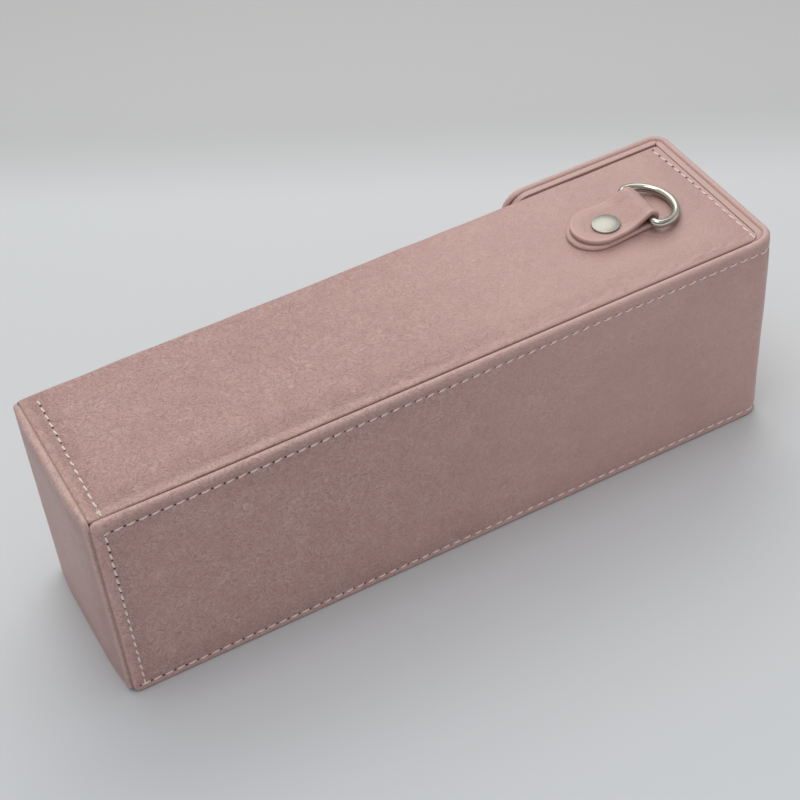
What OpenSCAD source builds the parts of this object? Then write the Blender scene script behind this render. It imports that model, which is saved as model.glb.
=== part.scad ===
// Long leather case that opens at one end, lying on its plain side.
// X runs from the closed base end to the lid, Y from the back wall to the front wall, Z is up.
// A strap of leather over board makes the back wall, bends round to be the lid at the far end,
// and bends again to be a flap that closes over the front wall.
// The body's two sides and its front wall are boards in one wrap of leather, with the base end set on.

/* [Case] */
// Length over the base end and the closed lid
case_l = 250; // [190:1:320]
// Depth of the body, from the back wall's outer face to the front wall's
case_d = 65; // [50:1:95]
// Height over the turned edges of the back wall, the lid and the flap
case_h = 80; // [60:1:120]
// How far each side panel lies below the turned edges beside it
side_recess = 0.5; // [0.3:0.1:1.5]

/* [Leather and board] */
// Thickness of the leather
leather_t = 0.8; // [0.6:0.1:1.2]
// Board in the back wall, the lid, the flap and the base end
strap_board_t = 1.2; // [1:0.1:2]
// Board in the two sides and the front wall
wall_board_t = 2; // [1.6:0.1:3]
// Lining glued inside the walls
lining_t = 0.6; // [0.4:0.1:1.2]
// Felt pad on the inside of the base end
base_pad_t = 1.2; // [0.8:0.1:3]
// Lining pad inside the lid and the flap
inner_pad_t = 2.2; // [1.6:0.1:3]
// Glue line between a board and its leather
glue_t = 0.05; // [0.02:0.01:0.1]
// How far the leather is turned in over a board's edge
turn_in = 12; // [6:0.5:16]

/* [Edges] */
// Outer radius of the leather at the lid's two bends
bend_r = 6; // [5:0.5:9]
// Corner radius of the back wall's free corners
back_corner_r = 3; // [2.5:0.5:5]
// Corner radius of the base end
base_corner_r = 2.5; // [2.5:0.5:6]
// Rounding along the front wall's long edges
front_edge_r = 2; // [2:0.5:5]
// Rounding of the sides' rolled edges, along the back wall and round the mouth
rolled_edge_r = 1.6; // [1.4:0.1:2.2]

/* [Lid and flap] */
// Length of the flap, from the lid's outer face
flap_l = 67; // [45:1:90]
// Radius of the flap's free corners
flap_corner_r = 9; // [5:0.5:15]
// Gap between the lid's pad and the mouth of the body
lid_gap = 0.4; // [0.3:0.1:1]
// Gap between the flap's pad and the front wall
flap_gap = 0.3; // [0.3:0.1:1]
// Gap between two bodies in the middle of a bend
bend_gap = 0.3; // [0.2:0.1:0.6]
// How far inside the cover's edge each lining pad ends
pad_inset = 0.6; // [0.4:0.1:2]
// How far inside the flap's free end its lining pad ends
pad_end_inset = 1.6; // [0.6:0.1:4]

/* [Magnets] */
// Diameter of the flap's magnets
magnet_d = 12; // [8:0.5:15]
// Distance between the two magnets, up the flap
magnet_pitch = 40; // [20:1:44]
// Distance from the flap's free end to the magnets
magnet_from_end = 16; // [12:1:20]
// Diameter of the keeper plates in the front wall
keeper_d = 14; // [8:0.5:18]
// Thickness of the keeper plates
keeper_t = 0.8; // [0.5:0.1:1.2]

/* [Ring tab] */
// Distance from the lid's outer face to the middle of the tab's round end
tab_from_lid = 48.8; // [40:0.2:70]
// How far the tab's round end stands off the middle of the body, towards the front wall
tab_off_middle = 2.3; // [-6:0.1:6]
// How far the tab is turned on the side
tab_turn = 0.5; // [-20:0.5:20]
// Thickness of the tab's leather
tab_t = 2; // [1.2:0.1:2.4]
// Radius of the tab's round end
tab_end_r = 9.5; // [8:0.5:12]
// Width of the tab at the loop
tab_loop_w = 16; // [12:0.2:18]
// How much longer the lower layer is than the upper one
tab_step = 1.5; // [0:0.1:3]
// Distance from the middle of the round end to the ring's bar
tab_reach = 16.3; // [14.5:0.1:22]

/* [Ring and rivet] */
// Diameter of the ring's wire
wire_d = 3; // [2:0.1:4]
// How far the ring's two legs stand clear of the tab's loop, together
ring_play = 4.2; // [1:0.1:8]
// Straight stretch between the bar and the round of the ring
ring_leg = 1.6; // [0.5:0.1:6]
// How much of that the leg beside the front wall stands clear of the loop
ring_front_play = 2; // [0.2:0.1:8]
// Radial clearance between the bar and the tab's loop
bar_clear = 0.08; // [0.03:0.01:0.1]
// Gap between the lying ring and the side panel
ring_gap = 0.3; // [0.2:0.1:0.6]
// Diameter of the rivet's cap
rivet_d = 10; // [8:0.5:11]
// Height of the cap's dome
rivet_h = 1.3; // [0.8:0.1:2]
// Diameter of the rivet's post
post_d = 3; // [2.5:0.1:3.5]
// Thickness of the cap's rim
rim_t = 0.4; // [0.2:0.1:0.8]
// Diameter and thickness of the post's flange, let into the board under the leather
flange_d = 8; // [5:0.5:10]
flange_t = 0.5; // [0.3:0.1:0.8]
// Where the rivet stands from the middle of the round end, along and across the tab
rivet_at = [2, -2.1];

/* [Hidden] */
$fn = 64;
EPS = 0.01;
BIG = 4 * (case_l + case_d + case_h);

// The strap: leather, board and the leather turned in behind it
strap_t = 2 * leather_t + strap_board_t;
// The front of the flap, over everything
total_d = case_d + flap_gap + inner_pad_t + strap_t;
// Inner face of the lid's pad, and the body's mouth just inside it
lid_pad_x = case_l - strap_t - inner_pad_t;
mouth_x = lid_pad_x - lid_gap;
// Middles of the two bends, in plan
lid_bend = [case_l - bend_r, bend_r];
flap_bend = [case_l - bend_r, total_d - bend_r];
// Each half bend stops short of the middle of its bend by this angle
half_gap = asin(bend_gap / 2 / bend_r);
half_bend = 45 - half_gap;

// The body: its own ends, and the depth of a wall without its lining
body_x = strap_t + glue_t;
body_y = strap_t + glue_t;
wall_t = leather_t + wall_board_t;
side_z = case_h - side_recess;
// The hollow inside the bare walls
hollow_lo = [body_x, body_y, side_recess + wall_t];
hollow_hi = [mouth_x, case_d - wall_t, side_z - wall_t];

// The flap's free end
flap_end_x = case_l - flap_l;
magnet_x = flap_end_x + magnet_from_end;
magnet_zs = [for (s = [-1, 1]) case_h / 2 + s * magnet_pitch / 2];

// The ring tab's own frame lies on the side panel, with X towards the ring
tab_x = case_l - tab_from_lid;
tab_y = case_d / 2 + tab_off_middle;
wire_r = wire_d / 2;
loop_in_r = wire_r + bar_clear;
loop_out_r = loop_in_r + tab_t;
// Height of the ring's bar over the side panel
bar_z = loop_out_r;
// The upper layer lies flat as far as the rivet's cap and then climbs to the loop
climb_x = rivet_at[0] + rivet_d / 2 + 1;
climb_run = tab_reach - climb_x;
climb_drop = 2 * tab_t - bar_z;
climb = asin(loop_out_r / norm([climb_run, climb_drop])) - atan2(climb_drop, climb_run);
// The ring: radius of its round along the wire, and its tilt when it lies on the side
ring_inner_w = tab_loop_w + ring_play;
ring_r = ring_inner_w / 2 + wire_r;
ring_slip = ring_front_play - ring_play / 2;
ring_reach = ring_leg + ring_r;
ring_tilt = asin((bar_z - wire_r - ring_gap) / ring_reach);
// The rivet's cap: its dome is cut from a sphere
dome_h = rivet_h - rim_t;
dome_r = (pow(rivet_d / 2, 2) + pow(dome_h, 2)) / (2 * dome_h);

// Plate sizes: the base end, the lid between its two bends, and the flap run past its bend
base_size = [case_d - body_y, case_h];
lid_run = [lid_bend[1], flap_bend[1]];
flap_size = [flap_l + bend_r + flap_corner_r, case_h];

LEATHER = [0.78, 0.6, 0.58];
LINING = [0.85, 0.74, 0.72];
BOARD = [0.62, 0.58, 0.52];
METAL = [0.78, 0.78, 0.74];

// ---- Shared forms ----

// Moves the case so that the middle of its footprint is the origin
module placed() {
    translate([-case_l / 2, -total_d / 2, 0]) children();
}

// Rectangle from a low to a high corner
module span(lo, hi) {
    translate(lo) square(hi - lo);
}

// Block from a low to a high corner
module block(lo, hi) {
    translate(lo) cube(hi - lo);
}

// Rectangle from a low to a high corner, with one radius at each end of its first axis
module rounded_span(lo, hi, r_lo, r_hi) {
    difference() {
        span(lo, hi);
        for (end = [[lo[0], r_lo, 1], [hi[0], r_hi, -1]], side = [[lo[1], 1], [hi[1], -1]])
            let (r = end[1], at = [end[0] + end[2] * r, side[0] + side[1] * r])
            difference() {
                translate([at[0] - end[2] * (r / 2 + EPS), at[1] - side[1] * (r / 2 + EPS)])
                    square([r + 2 * EPS, r + 2 * EPS], center = true);
                translate(at) circle(r);
            }
    }
}

// Flat plate with round edges all the way round, lying from the origin to size
module bead_plate(size, t, corner_r) {
    r = t / 2;
    inner = corner_r - r;
    xs = [corner_r, size[0] - corner_r];
    ys = [corner_r, size[1] - corner_r];
    block([corner_r, r, 0], [xs[1], size[1] - r, t]);
    block([r, corner_r, 0], [size[0] - r, ys[1], t]);
    for (x = xs, y = ys) translate([x, y, 0]) rotate_extrude() {
        square([inner, t]);
        translate([inner, r]) intersection() {
            circle(r);
            translate([-inner, -r]) square([inner + r, t]);
        }
    }
    for (y = [r, size[1] - r]) translate([xs[0], y, r]) rotate([0, 90, 0])
        cylinder(h = xs[1] - xs[0], r = r);
    for (x = [r, size[0] - r]) translate([x, ys[0], r]) rotate([-90, 0, 0])
        cylinder(h = ys[1] - ys[0], r = r);
}

// Board with plain edges and round corners, from the origin to size, taken in by d all round
module flat_board(size, t, corner_r, d = 0) {
    linear_extrude(t)
        rounded_span([d, d], size - [d, d], corner_r - d, corner_r - d);
}

// Leather turned over a board: outer face at z = 0, with a window where the turned edges stop
module turned_cover(size, corner_r) {
    difference() {
        bead_plate(size, strap_t, corner_r);
        translate([0, 0, leather_t]) flat_board(size, strap_board_t, corner_r, leather_t);
        block([turn_in, turn_in, leather_t + EPS], [size[0] - turn_in, size[1] - turn_in, strap_t + 1]);
    }
}

// The board that fits in such a cover
module turned_board(size, corner_r) {
    translate([0, 0, leather_t + glue_t / 2])
        flat_board(size, strap_board_t - glue_t, corner_r, leather_t + glue_t);
}

// Section through the strap: depth from its outer face along X, height along Y
module strap_section() {
    r = strap_t / 2;
    difference() {
        union() {
            span([0, r], [strap_t, case_h - r]);
            for (z = [r, case_h - r]) translate([r, z]) circle(r);
        }
        span([leather_t, leather_t], [leather_t + strap_board_t, case_h - leather_t]);
        span([leather_t, turn_in], [strap_t + 1, case_h - turn_in]);
    }
}

// Half a bend of the strap about the middle of the bend, from one angle on, turning left or right
module half_bend(centre, from, turn) {
    translate([centre[0], centre[1], 0]) rotate([0, 0, from]) mirror([0, turn == "right" ? 1 : 0, 0])
        rotate_extrude(angle = half_bend)
            translate([bend_r, 0]) mirror([1, 0]) strap_section();
}

// Puts a plate that lies in XY on the back wall, outer face to -Y
module on_back() {
    multmatrix([[1, 0, 0, 0], [0, 0, 1, 0], [0, 1, 0, 0], [0, 0, 0, 1]]) children();
}

// Puts a plate on the lid, outer face to +X, its X along the lid from the first bend
module on_lid() {
    multmatrix([[0, 0, -1, case_l], [1, 0, 0, 0], [0, 1, 0, 0], [0, 0, 0, 1]]) children();
}

// Puts a plate on the flap, outer face to +Y, its X from the flap's free end to the lid
module on_flap() {
    multmatrix([[1, 0, 0, flap_end_x], [0, 0, -1, total_d], [0, 1, 0, 0], [0, 0, 0, 1]]) children();
}

// Puts a plate on the base end, outer face to -X, its X from the back wall to the front wall
module on_base() {
    multmatrix([[0, 0, 1, 0], [1, 0, 0, body_y], [0, 1, 0, 0], [0, 0, 0, 1]]) children();
}

// The body's outer form with its rolled edges, taken in by d on every side
module body_form(d) {
    lo = [body_x + d, body_y + d, side_recess + d];
    hi = [mouth_x - d, case_d - d, side_z - d];
    intersection() {
        translate([lo[0], 0, 0]) rotate([90, 0, 90]) linear_extrude(hi[0] - lo[0])
            rounded_span([lo[1], lo[2]], [hi[1], hi[2]], rolled_edge_r - d, front_edge_r - d);
        translate([0, hi[1], 0]) rotate([90, 0, 0]) linear_extrude(hi[1] - lo[1])
            rounded_span([lo[0], lo[2]], [hi[0], hi[2]], rolled_edge_r - d, rolled_edge_r - d);
        translate([0, 0, lo[2]]) linear_extrude(hi[2] - lo[2])
            rounded_span([lo[0], lo[1]], [hi[0], hi[1]], rolled_edge_r - d, rolled_edge_r - d);
    }
}

// The space for the boards inside the body's leather
module board_form() {
    body_form(leather_t + glue_t);
}

// Everything between the walls, open to the back, the base end and the mouth
module hollow() {
    block([-1, -1, hollow_lo[2]], [case_l, hollow_hi[1], hollow_hi[2]]);
}

// Puts what is modelled in the tab's own frame on the ring side
module on_tab() {
    translate([tab_x, tab_y, side_z]) rotate([0, 0, tab_turn]) children();
}

// The rivet's hole, through everything it clamps
module rivet_hole() {
    on_tab() translate([rivet_at[0], rivet_at[1], -wall_t - 1])
        cylinder(h = wall_t + 2 * tab_t + 2, d = post_d);
}

// Places children on the two magnets' axis, Z pointing in from the flap to the front wall
module at_magnets(y) {
    for (z = magnet_zs) translate([magnet_x, y, z]) rotate([90, 0, 0]) children();
}

// ---- Back wall ----

module back_board() {
    color(BOARD) intersection() {
        on_back() turned_board([case_l + BIG, case_h], back_corner_r);
        block([0, 0, 0], [lid_bend[0] - leather_t, case_d, case_h]);
    }
}

module back_cover() {
    color(LEATHER) {
        intersection() {
            on_back() turned_cover([case_l + BIG, case_h], back_corner_r);
            block([0, 0, 0], [lid_bend[0], case_d, case_h]);
        }
        half_bend(lid_bend, -90, "left");
    }
}

module back_lining() {
    color(LINING) block([body_x + base_pad_t, body_y, hollow_lo[2]],
        [hollow_hi[0] - leather_t, body_y + lining_t, hollow_hi[2]]);
}

// ---- Body ----

module front_board() {
    color(BOARD) difference() {
        intersection() {
            board_form();
            block([0, hollow_hi[1], hollow_lo[2] + glue_t], [case_l, case_d, hollow_hi[2] - glue_t]);
        }
        at_magnets(case_d) cylinder(h = leather_t + glue_t + keeper_t, d = keeper_d);
    }
}

module side_board() {
    intersection() {
        board_form();
        block([0, 0, hollow_hi[2]], [case_l, case_d, case_h]);
    }
}

module ring_side_board() {
    color(BOARD) difference() {
        side_board();
        rivet_hole();
        on_tab() translate([rivet_at[0], rivet_at[1], -wall_t - 1]) cylinder(h = 1 + flange_t, d = flange_d);
    }
}

module plain_side_board() {
    color(BOARD) translate([0, 0, case_h]) mirror([0, 0, 1]) side_board();
}

module body_cover() {
    color(LEATHER) difference() {
        body_form(0);
        body_form(leather_t);
        hollow();
        rivet_hole();
    }
}

// Linings end short of the rolled leather at the mouth
module front_lining() {
    color(LINING) block([body_x + base_pad_t, hollow_hi[1] - lining_t, hollow_lo[2]],
        [hollow_hi[0] - leather_t, hollow_hi[1], hollow_hi[2]]);
}

module side_lining() {
    block([body_x + base_pad_t, body_y + lining_t, hollow_hi[2] - lining_t],
        [hollow_hi[0] - leather_t, hollow_hi[1] - lining_t, hollow_hi[2]]);
}

module ring_side_lining() {
    color(LINING) side_lining();
}

module plain_side_lining() {
    color(LINING) translate([0, 0, case_h]) mirror([0, 0, 1]) side_lining();
}

module keeper_plates() {
    color(METAL) at_magnets(case_d - leather_t - glue_t) cylinder(h = keeper_t, d = keeper_d - 2 * glue_t);
}

// ---- Base end ----

module base_board() {
    color(BOARD) on_base() turned_board(base_size, base_corner_r);
}

module base_cover() {
    color(LEATHER) on_base() turned_cover(base_size, base_corner_r);
}

module base_pad() {
    color(LINING) block(hollow_lo, [body_x + base_pad_t, hollow_hi[1], hollow_hi[2]]);
}

// ---- Ring tab ----

// Plan of one layer of the tab, its round end moved back by a step
module tab_plan(step) {
    end_x = tab_reach + loop_out_r;
    translate([-step, 0]) circle(tab_end_r);
    polygon([[-step, -tab_end_r], [end_x, -tab_loop_w / 2], [end_x, tab_loop_w / 2], [-step, tab_end_r]]);
}

// Side view of the lower layer
module lower_layer() {
    span([-BIG, 0], [tab_reach, tab_t]);
}

// Side view of the loop and the upper layer: round the bar, down to the lower layer and along it
module upper_layer() {
    out = [-sin(climb), cos(climb)];
    bar = [tab_reach, bar_z];
    foot_in = climb_x + tab_t * tan(climb / 2);
    span([-BIG, tab_t], [climb_x + EPS, 2 * tab_t]);
    polygon([[climb_x, 2 * tab_t], bar + loop_out_r * out, bar + loop_in_r * out,
        [foot_in, tab_t], [climb_x, tab_t]]);
    difference() {
        translate(bar) circle(loop_out_r);
        translate(bar) circle(loop_in_r);
        translate(bar) polygon([[0, 0], BIG * out, [-BIG, 0], [-BIG, -BIG], [0, -BIG]]);
    }
}

// A side view of the tab cut to one layer's plan
module tab_layer(step) {
    intersection() {
        rotate([90, 0, 0]) linear_extrude(4 * tab_end_r, center = true) children();
        translate([0, 0, -EPS]) linear_extrude(2 * bar_z + 1) tab_plan(step);
    }
}

module ring_tab() {
    color(LEATHER) difference() {
        on_tab() {
            tab_layer(tab_step) lower_layer();
            tab_layer(0) upper_layer();
        }
        rivet_hole();
    }
}

// ---- Rivet ----

module rivet_cap() {
    color(METAL) on_tab() translate([rivet_at[0], rivet_at[1], 2 * tab_t]) rotate_extrude() {
        square([rivet_d / 2, rim_t]);
        intersection() {
            translate([0, rivet_h - dome_r]) circle(dome_r, $fn = 360);
            translate([0, rim_t - EPS]) square([rivet_d / 2, rivet_h]);
        }
    }
}

module rivet_post() {
    color(METAL) on_tab() translate([rivet_at[0], rivet_at[1], -wall_t]) {
        cylinder(h = wall_t + 2 * tab_t, d = post_d - 2 * glue_t);
        cylinder(h = flange_t, d = flange_d - 2 * glue_t);
    }
}

// ---- D-ring ----

module d_ring() {
    color(METAL) on_tab() translate([tab_reach, ring_slip, bar_z]) rotate([0, ring_tilt, 0]) {
        translate([ring_leg, 0, 0]) rotate([0, 0, -90])
            rotate_extrude(angle = 180) translate([ring_r, 0]) circle(wire_r);
        for (s = [-1, 1]) translate([0, s * ring_r, 0]) rotate([0, 90, 0])
            cylinder(h = ring_leg, r = wire_r);
        rotate([90, 0, 0]) cylinder(h = 2 * ring_r, r = wire_r, center = true);
        for (s = [-1, 1]) translate([0, s * ring_r, 0]) sphere(wire_r);
    }
}

// ---- Lid ----

module lid_board() {
    edge = leather_t + glue_t;
    color(BOARD) block([case_l - edge - strap_board_t + glue_t, lid_run[0] + edge, edge],
        [case_l - edge, lid_run[1] - edge, case_h - edge]);
}

module lid_cover() {
    color(LEATHER) {
        translate([case_l, lid_run[1], 0]) rotate([90, 0, 0]) linear_extrude(lid_run[1] - lid_run[0])
            mirror([1, 0]) strap_section();
        half_bend(lid_bend, 0, "right");
        half_bend(flap_bend, 0, "left");
    }
}

module lid_pad() {
    size = [lid_run[1] - lid_run[0], case_h - 2 * pad_inset];
    color(LEATHER) translate([0, lid_run[0], pad_inset])
        on_lid() translate([0, 0, strap_t]) bead_plate(size, inner_pad_t, back_corner_r);
}

// ---- Flap ----

// The flap's panels run past the bend and are cut there
module before_flap_bend() {
    intersection() {
        children();
        block([0, 0, 0], [flap_bend[0], total_d + 1, case_h]);
    }
}

module flap_board() {
    color(BOARD) difference() {
        intersection() {
            on_flap() turned_board(flap_size, flap_corner_r);
            block([0, 0, 0], [flap_bend[0] - leather_t, total_d, case_h]);
        }
        at_magnets(total_d) cylinder(h = strap_t, d = magnet_d);
    }
}

module flap_cover() {
    color(LEATHER) {
        before_flap_bend() on_flap() turned_cover(flap_size, flap_corner_r);
        half_bend(flap_bend, 90, "right");
    }
}

module flap_pad() {
    size = [flap_bend[0] - flap_end_x - pad_end_inset, case_h - 2 * pad_inset];
    color(LEATHER) translate([pad_end_inset, 0, pad_inset])
        on_flap() translate([0, 0, strap_t]) bead_plate(size, inner_pad_t, flap_corner_r - pad_inset);
}

module flap_magnets() {
    color(METAL) at_magnets(total_d - leather_t - glue_t)
        cylinder(h = strap_board_t - 2 * glue_t, d = magnet_d - 2 * glue_t);
}

// ---- The pieces, by name ----

placed() back_board();
placed() back_cover();
placed() back_lining();
placed() front_board();
placed() front_lining();
placed() ring_side_board();
placed() ring_side_lining();
placed() plain_side_board();
placed() plain_side_lining();
placed() body_cover();
placed() base_board();
placed() base_cover();
placed() base_pad();
placed() keeper_plates();
placed() ring_tab();
placed() rivet_cap();
placed() rivet_post();
placed() lid_board();
placed() lid_cover();
placed() lid_pad();
placed() flap_board();
placed() flap_cover();
placed() flap_pad();
placed() flap_magnets();
placed() d_ring();
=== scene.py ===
import math

import bmesh
import bpy
import numpy as np
from mathutils import Matrix, Vector


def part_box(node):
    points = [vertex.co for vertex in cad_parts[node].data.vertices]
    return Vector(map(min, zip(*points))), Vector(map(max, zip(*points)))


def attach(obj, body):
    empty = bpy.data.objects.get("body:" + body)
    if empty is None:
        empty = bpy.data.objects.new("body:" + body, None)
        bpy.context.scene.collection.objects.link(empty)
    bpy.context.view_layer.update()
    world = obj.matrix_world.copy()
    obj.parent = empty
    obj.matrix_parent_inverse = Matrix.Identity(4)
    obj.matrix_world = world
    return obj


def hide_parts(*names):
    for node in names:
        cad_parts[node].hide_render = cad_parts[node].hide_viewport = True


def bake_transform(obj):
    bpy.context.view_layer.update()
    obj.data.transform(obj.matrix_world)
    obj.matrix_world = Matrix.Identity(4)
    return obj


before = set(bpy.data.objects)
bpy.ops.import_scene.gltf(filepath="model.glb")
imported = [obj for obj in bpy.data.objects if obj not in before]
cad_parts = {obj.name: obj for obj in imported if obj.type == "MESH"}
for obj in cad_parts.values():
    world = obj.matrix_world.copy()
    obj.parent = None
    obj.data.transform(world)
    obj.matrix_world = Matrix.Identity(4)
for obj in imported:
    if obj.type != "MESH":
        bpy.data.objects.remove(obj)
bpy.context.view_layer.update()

bl_info = {
    "name": "Leather jewellery case",
    "version": (1, 0, 0),
    "blender": (4, 5, 0),
    "location": "View3D > Sidebar > Case",
    "description": "Builds a long stitched leather case with an end lid, a flap and a ring tab",
    "category": "Object",
}

# ---- Measures of the fixed frame, in millimetres from the case's own corner ----

MM = 0.001


def node_span(name):
    """Low and high corner of a frame node, in millimetres in the row frame."""
    lo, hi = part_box(name)
    return np.array(lo) / MM, np.array(hi) / MM


BACK_LO, BACK_HI = node_span("back_cover")
LID_HI = node_span("lid_cover")[1]
FLAP_LO, FLAP_HI = node_span("flap_cover")
BODY_LO, BODY_HI = node_span("body_cover")
BASE_LO, BASE_HI = node_span("base_cover")
LID_PAD_LO = node_span("lid_pad")[0]
FLAP_PAD_LO = node_span("flap_pad")[0]
CAP_LO, CAP_HI = node_span("rivet_cap")
ORIGIN = np.array([BACK_LO[0], BACK_LO[1], 0.0])

CASE_L = LID_HI[0] - ORIGIN[0]
CASE_D = FLAP_HI[1] - ORIGIN[1]
CASE_H = BACK_HI[2]
STRAP_T = BASE_HI[0] - BASE_LO[0]
PAD_T = LID_HI[0] - LID_PAD_LO[0] - STRAP_T
BODY = (BODY_LO - ORIGIN, BODY_HI - ORIGIN)
FLAP_END = FLAP_LO[0] - ORIGIN[0]
CAP_XY = (CAP_LO + CAP_HI)[:2] / 2 - ORIGIN[:2]
CAP_Z = CAP_LO[2]
CAP_D = CAP_HI[0] - CAP_LO[0]

# Where the soft leather starts behind the base end, its thicknesses and how far it tucks in.
WRAP_START = 0.75
STRAP_START = 0.6
BASE_START = 0.8
BASE_DOWN = 0.1
BASE_BEAD = 1.5
WRAP_T = 2.84
TUCK = 0.6

# How far the lid's foot leans in, the height where that ends, and how it fades along the case.
LEAN = 3.0
LEAN_TOP = 74
LEAN_FROM_X = 90
LEAN_RUN = 155
LEAN_MOST = 1.05


def row(points):
    """Points in the case's own millimetres, as metres in the row frame.

    The soft lid leans in towards its foot, and the pieces near it lean with it.
    """
    points = np.array(points, float)
    x, z = points[..., 0], points[..., 2]
    along = np.clip((x - LEAN_FROM_X) / LEAN_RUN, 0, LEAN_MOST)
    points[..., 0] = x - LEAN * (1 - ease(z / LEAN_TOP)) * along
    return (points + ORIGIN) * MM


# ---- Sizes and finishes that a user can change ----


def size_prop(name, text, value, low=0.0, high=400.0):
    """One length in millimetres for the panel."""
    return bpy.props.FloatProperty(
        name=name, description=text, default=value, min=low, max=high, precision=2
    )


def colour_prop(name, text, value):
    """One linear colour for the panel."""
    return bpy.props.FloatVectorProperty(
        name=name, description=text, default=value, size=3, min=0, max=1, subtype="COLOR"
    )


class CaseSizes(bpy.types.PropertyGroup):
    """Sizes of the leather pieces, in millimetres."""

    bend_r: size_prop("Bend radius", "Outer radius of the leather at the lid's two bends", 6.0)
    back_corner_r: size_prop("Back corner radius", "Free corners of the back wall", 2.5)
    flap_corner_r: size_prop("Flap corner radius", "Free corners of the flap", 9.0)
    base_corner_r: size_prop("Base corner radius", "Corners of the base end", 4.0)
    front_edge_r: size_prop("Front edge radius", "Rounding along the front wall's long edges", 1.9)
    lid_proud: size_prop("Lid proud", "How far the lid's leather stands out beyond its plain size", 0.4)
    front_proud: size_prop("Front proud", "How far the front wall and the flap stand out", 1.15)
    base_proud: size_prop("Base proud", "How far the base end's padded leather stands out", 2.1)
    rim_low: size_prop("Rim low", "How far the back wall's upper edge sits below the lid's", 1.1)
    mouth_corner_r: size_prop("Mouth corner radius", "Corners of the sides beside the lid", 3.2)
    crown_w: size_prop("Crown width", "Width of the rounded crown along the strap's edges", 1.55)
    roll_w: size_prop("Rolled edge width", "Width of the soft roll along the back wall", 3.1)
    roll_drop: size_prop("Rolled edge drop", "Depth of the soft roll along the back wall", 1.0)
    front_puff: size_prop("Front puff", "How far the front wall's leather swells near the base", 0.65)
    grid: size_prop("Mesh step", "Spacing of the leather's mesh on flat panels", 2.2, 0.5, 10)
    relief: size_prop("Leather relief", "Height of the leather's slow unevenness", 0.07, 0, 1)


class SeamSizes(bpy.types.PropertyGroup):
    """Sizes of the stitch rows, in millimetres."""

    top_in: size_prop("Upper row", "Distance of the strap's upper row from its edge", 5.8)
    bottom_in: size_prop("Lower row", "Distance of the strap's lower row from its edge", 2.6)
    end_in: size_prop("End row", "Distance of the strap's end row from its edge", 4.1)
    side_in: size_prop("Base rows", "Distance of the sides' rows from the body's base end", 3.4)
    mouth_in: size_prop("Mouth rows", "Distance of the sides' rows from the mouth", 1.5)
    long_pitch: size_prop("Long pitch", "Spacing of the stitches in the long rows", 4.15)
    short_pitch: size_prop("Short pitch", "Spacing of the stitches in the short rows", 3.8)
    thread_r: size_prop("Thread radius", "Half the thickness of the thread", 0.38)
    hole_r: size_prop("Hole radius", "Half the width of a needle hole", 0.56)
    gap: size_prop("Stitch gap", "Gap between two stitches, over their needle hole", 1.2)
    groove: size_prop("Groove depth", "How far the thread pulls the leather in", 0.34)
    groove_w: size_prop("Groove width", "Half the width of the groove along a row", 0.95)
    seed: bpy.props.IntProperty(name="Seed", description="Seed of the stitches' wander", default=7)


class TabSizes(bpy.types.PropertyGroup):
    """Sizes of the ring tab, the ring and the rivet, in millimetres."""

    at: bpy.props.FloatVectorProperty(
        name="Tab position", description="Middle of the tab's round end", size=2, default=(201.2, 34.8)
    )
    turn: size_prop("Tab turn", "Turn of the tab on the side, in degrees", 0.5, -45, 45)
    thick: size_prop("Tab leather", "Thickness of the tab's leather", 2.0)
    end_r: size_prop("Tab end radius", "Radius of the tab's round end", 9.5)
    loop_w: size_prop("Loop width", "Width of the tab at its loop", 16.0)
    step: size_prop("Layer step", "How much longer the lower layer is", 1.5)
    reach: size_prop("Reach", "Distance from the round end's middle to the ring's bar", 16.3)
    wire_d: size_prop("Wire", "Diameter of the ring's wire", 3.0)
    ring_w: size_prop("Ring inner width", "Clear width between the ring's legs", 20.2)
    leg: size_prop("Ring leg", "Straight stretch from the bar to the round", 1.6)
    slip: size_prop("Ring slip", "How far the ring has slid along its bar", -0.1, -5, 5)
    corner_r: size_prop("Ring corner radius", "Bend of the wire beside its bar", 2.5)
    clear: size_prop("Bar clearance", "Radial clearance of the bar in the loop", 0.08)
    lie_gap: size_prop("Ring gap", "Gap between the lying ring and the side", 0.3)


class CaseFinish(bpy.types.PropertyGroup):
    """Colours of the case."""

    leather: colour_prop("Leather", "Main colour of the leather", (0.497, 0.306, 0.277))
    # The deep colour is the leather's darker tone in blotches and grain, and also the base of the painted shade
    # in folds and beside seams.
    leather_deep: colour_prop("Leather, deep", "Colour in folds and beside seams", (0.285, 0.125, 0.108))
    # The pale colour is that of the fine crazing and the mottle, and also a painted highlight along the rounded
    # edges.
    leather_pale: colour_prop("Leather, pale", "Colour of fine crazing and painted edge highlights", (0.690, 0.500, 0.450))
    lining: colour_prop("Lining", "Colour of the soft lining", (0.520, 0.350, 0.325))
    thread: colour_prop("Thread", "Colour of the thread", (0.820, 0.690, 0.650))
    metal: colour_prop("Nickel", "Colour of the ring and the rivet", (0.500, 0.490, 0.430))


# ---- Forms ----


def smooth_noise(points, wavelength, seed, waves=24):
    """Smooth unevenness from a fixed sum of waves; about one in height."""
    rng = np.random.default_rng(seed)
    direction = unit_rows(rng.normal(size=(waves, points.shape[1])))
    turns = 2 * np.pi / (wavelength * rng.uniform(0.7, 1.7, waves))
    phase = rng.uniform(0, 2 * np.pi, waves)
    return np.sin(points @ (direction * turns[:, None]).T + phase).sum(1) / math.sqrt(waves / 2)


def ease(x):
    """Smooth step from 0 to 1."""
    x = np.clip(x, 0, 1)
    return x * x * (3 - 2 * x)


def roll(distance, width, drop):
    """How far a rounded edge has dropped at a distance in from it."""
    x = np.clip(1 - distance / width, 0, 1)
    return drop * (1 - np.sqrt(1 - x * x))


def hump(x, width):
    """A soft hump of height one about x = 0."""
    return np.exp(-((x / width) ** 2))


def slow_noise(points, long, short, seed):
    """Slow unevenness of two wavelengths, the shorter one half as high."""
    return smooth_noise(points, long, seed) + 0.5 * smooth_noise(points, short, seed + 1)


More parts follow.
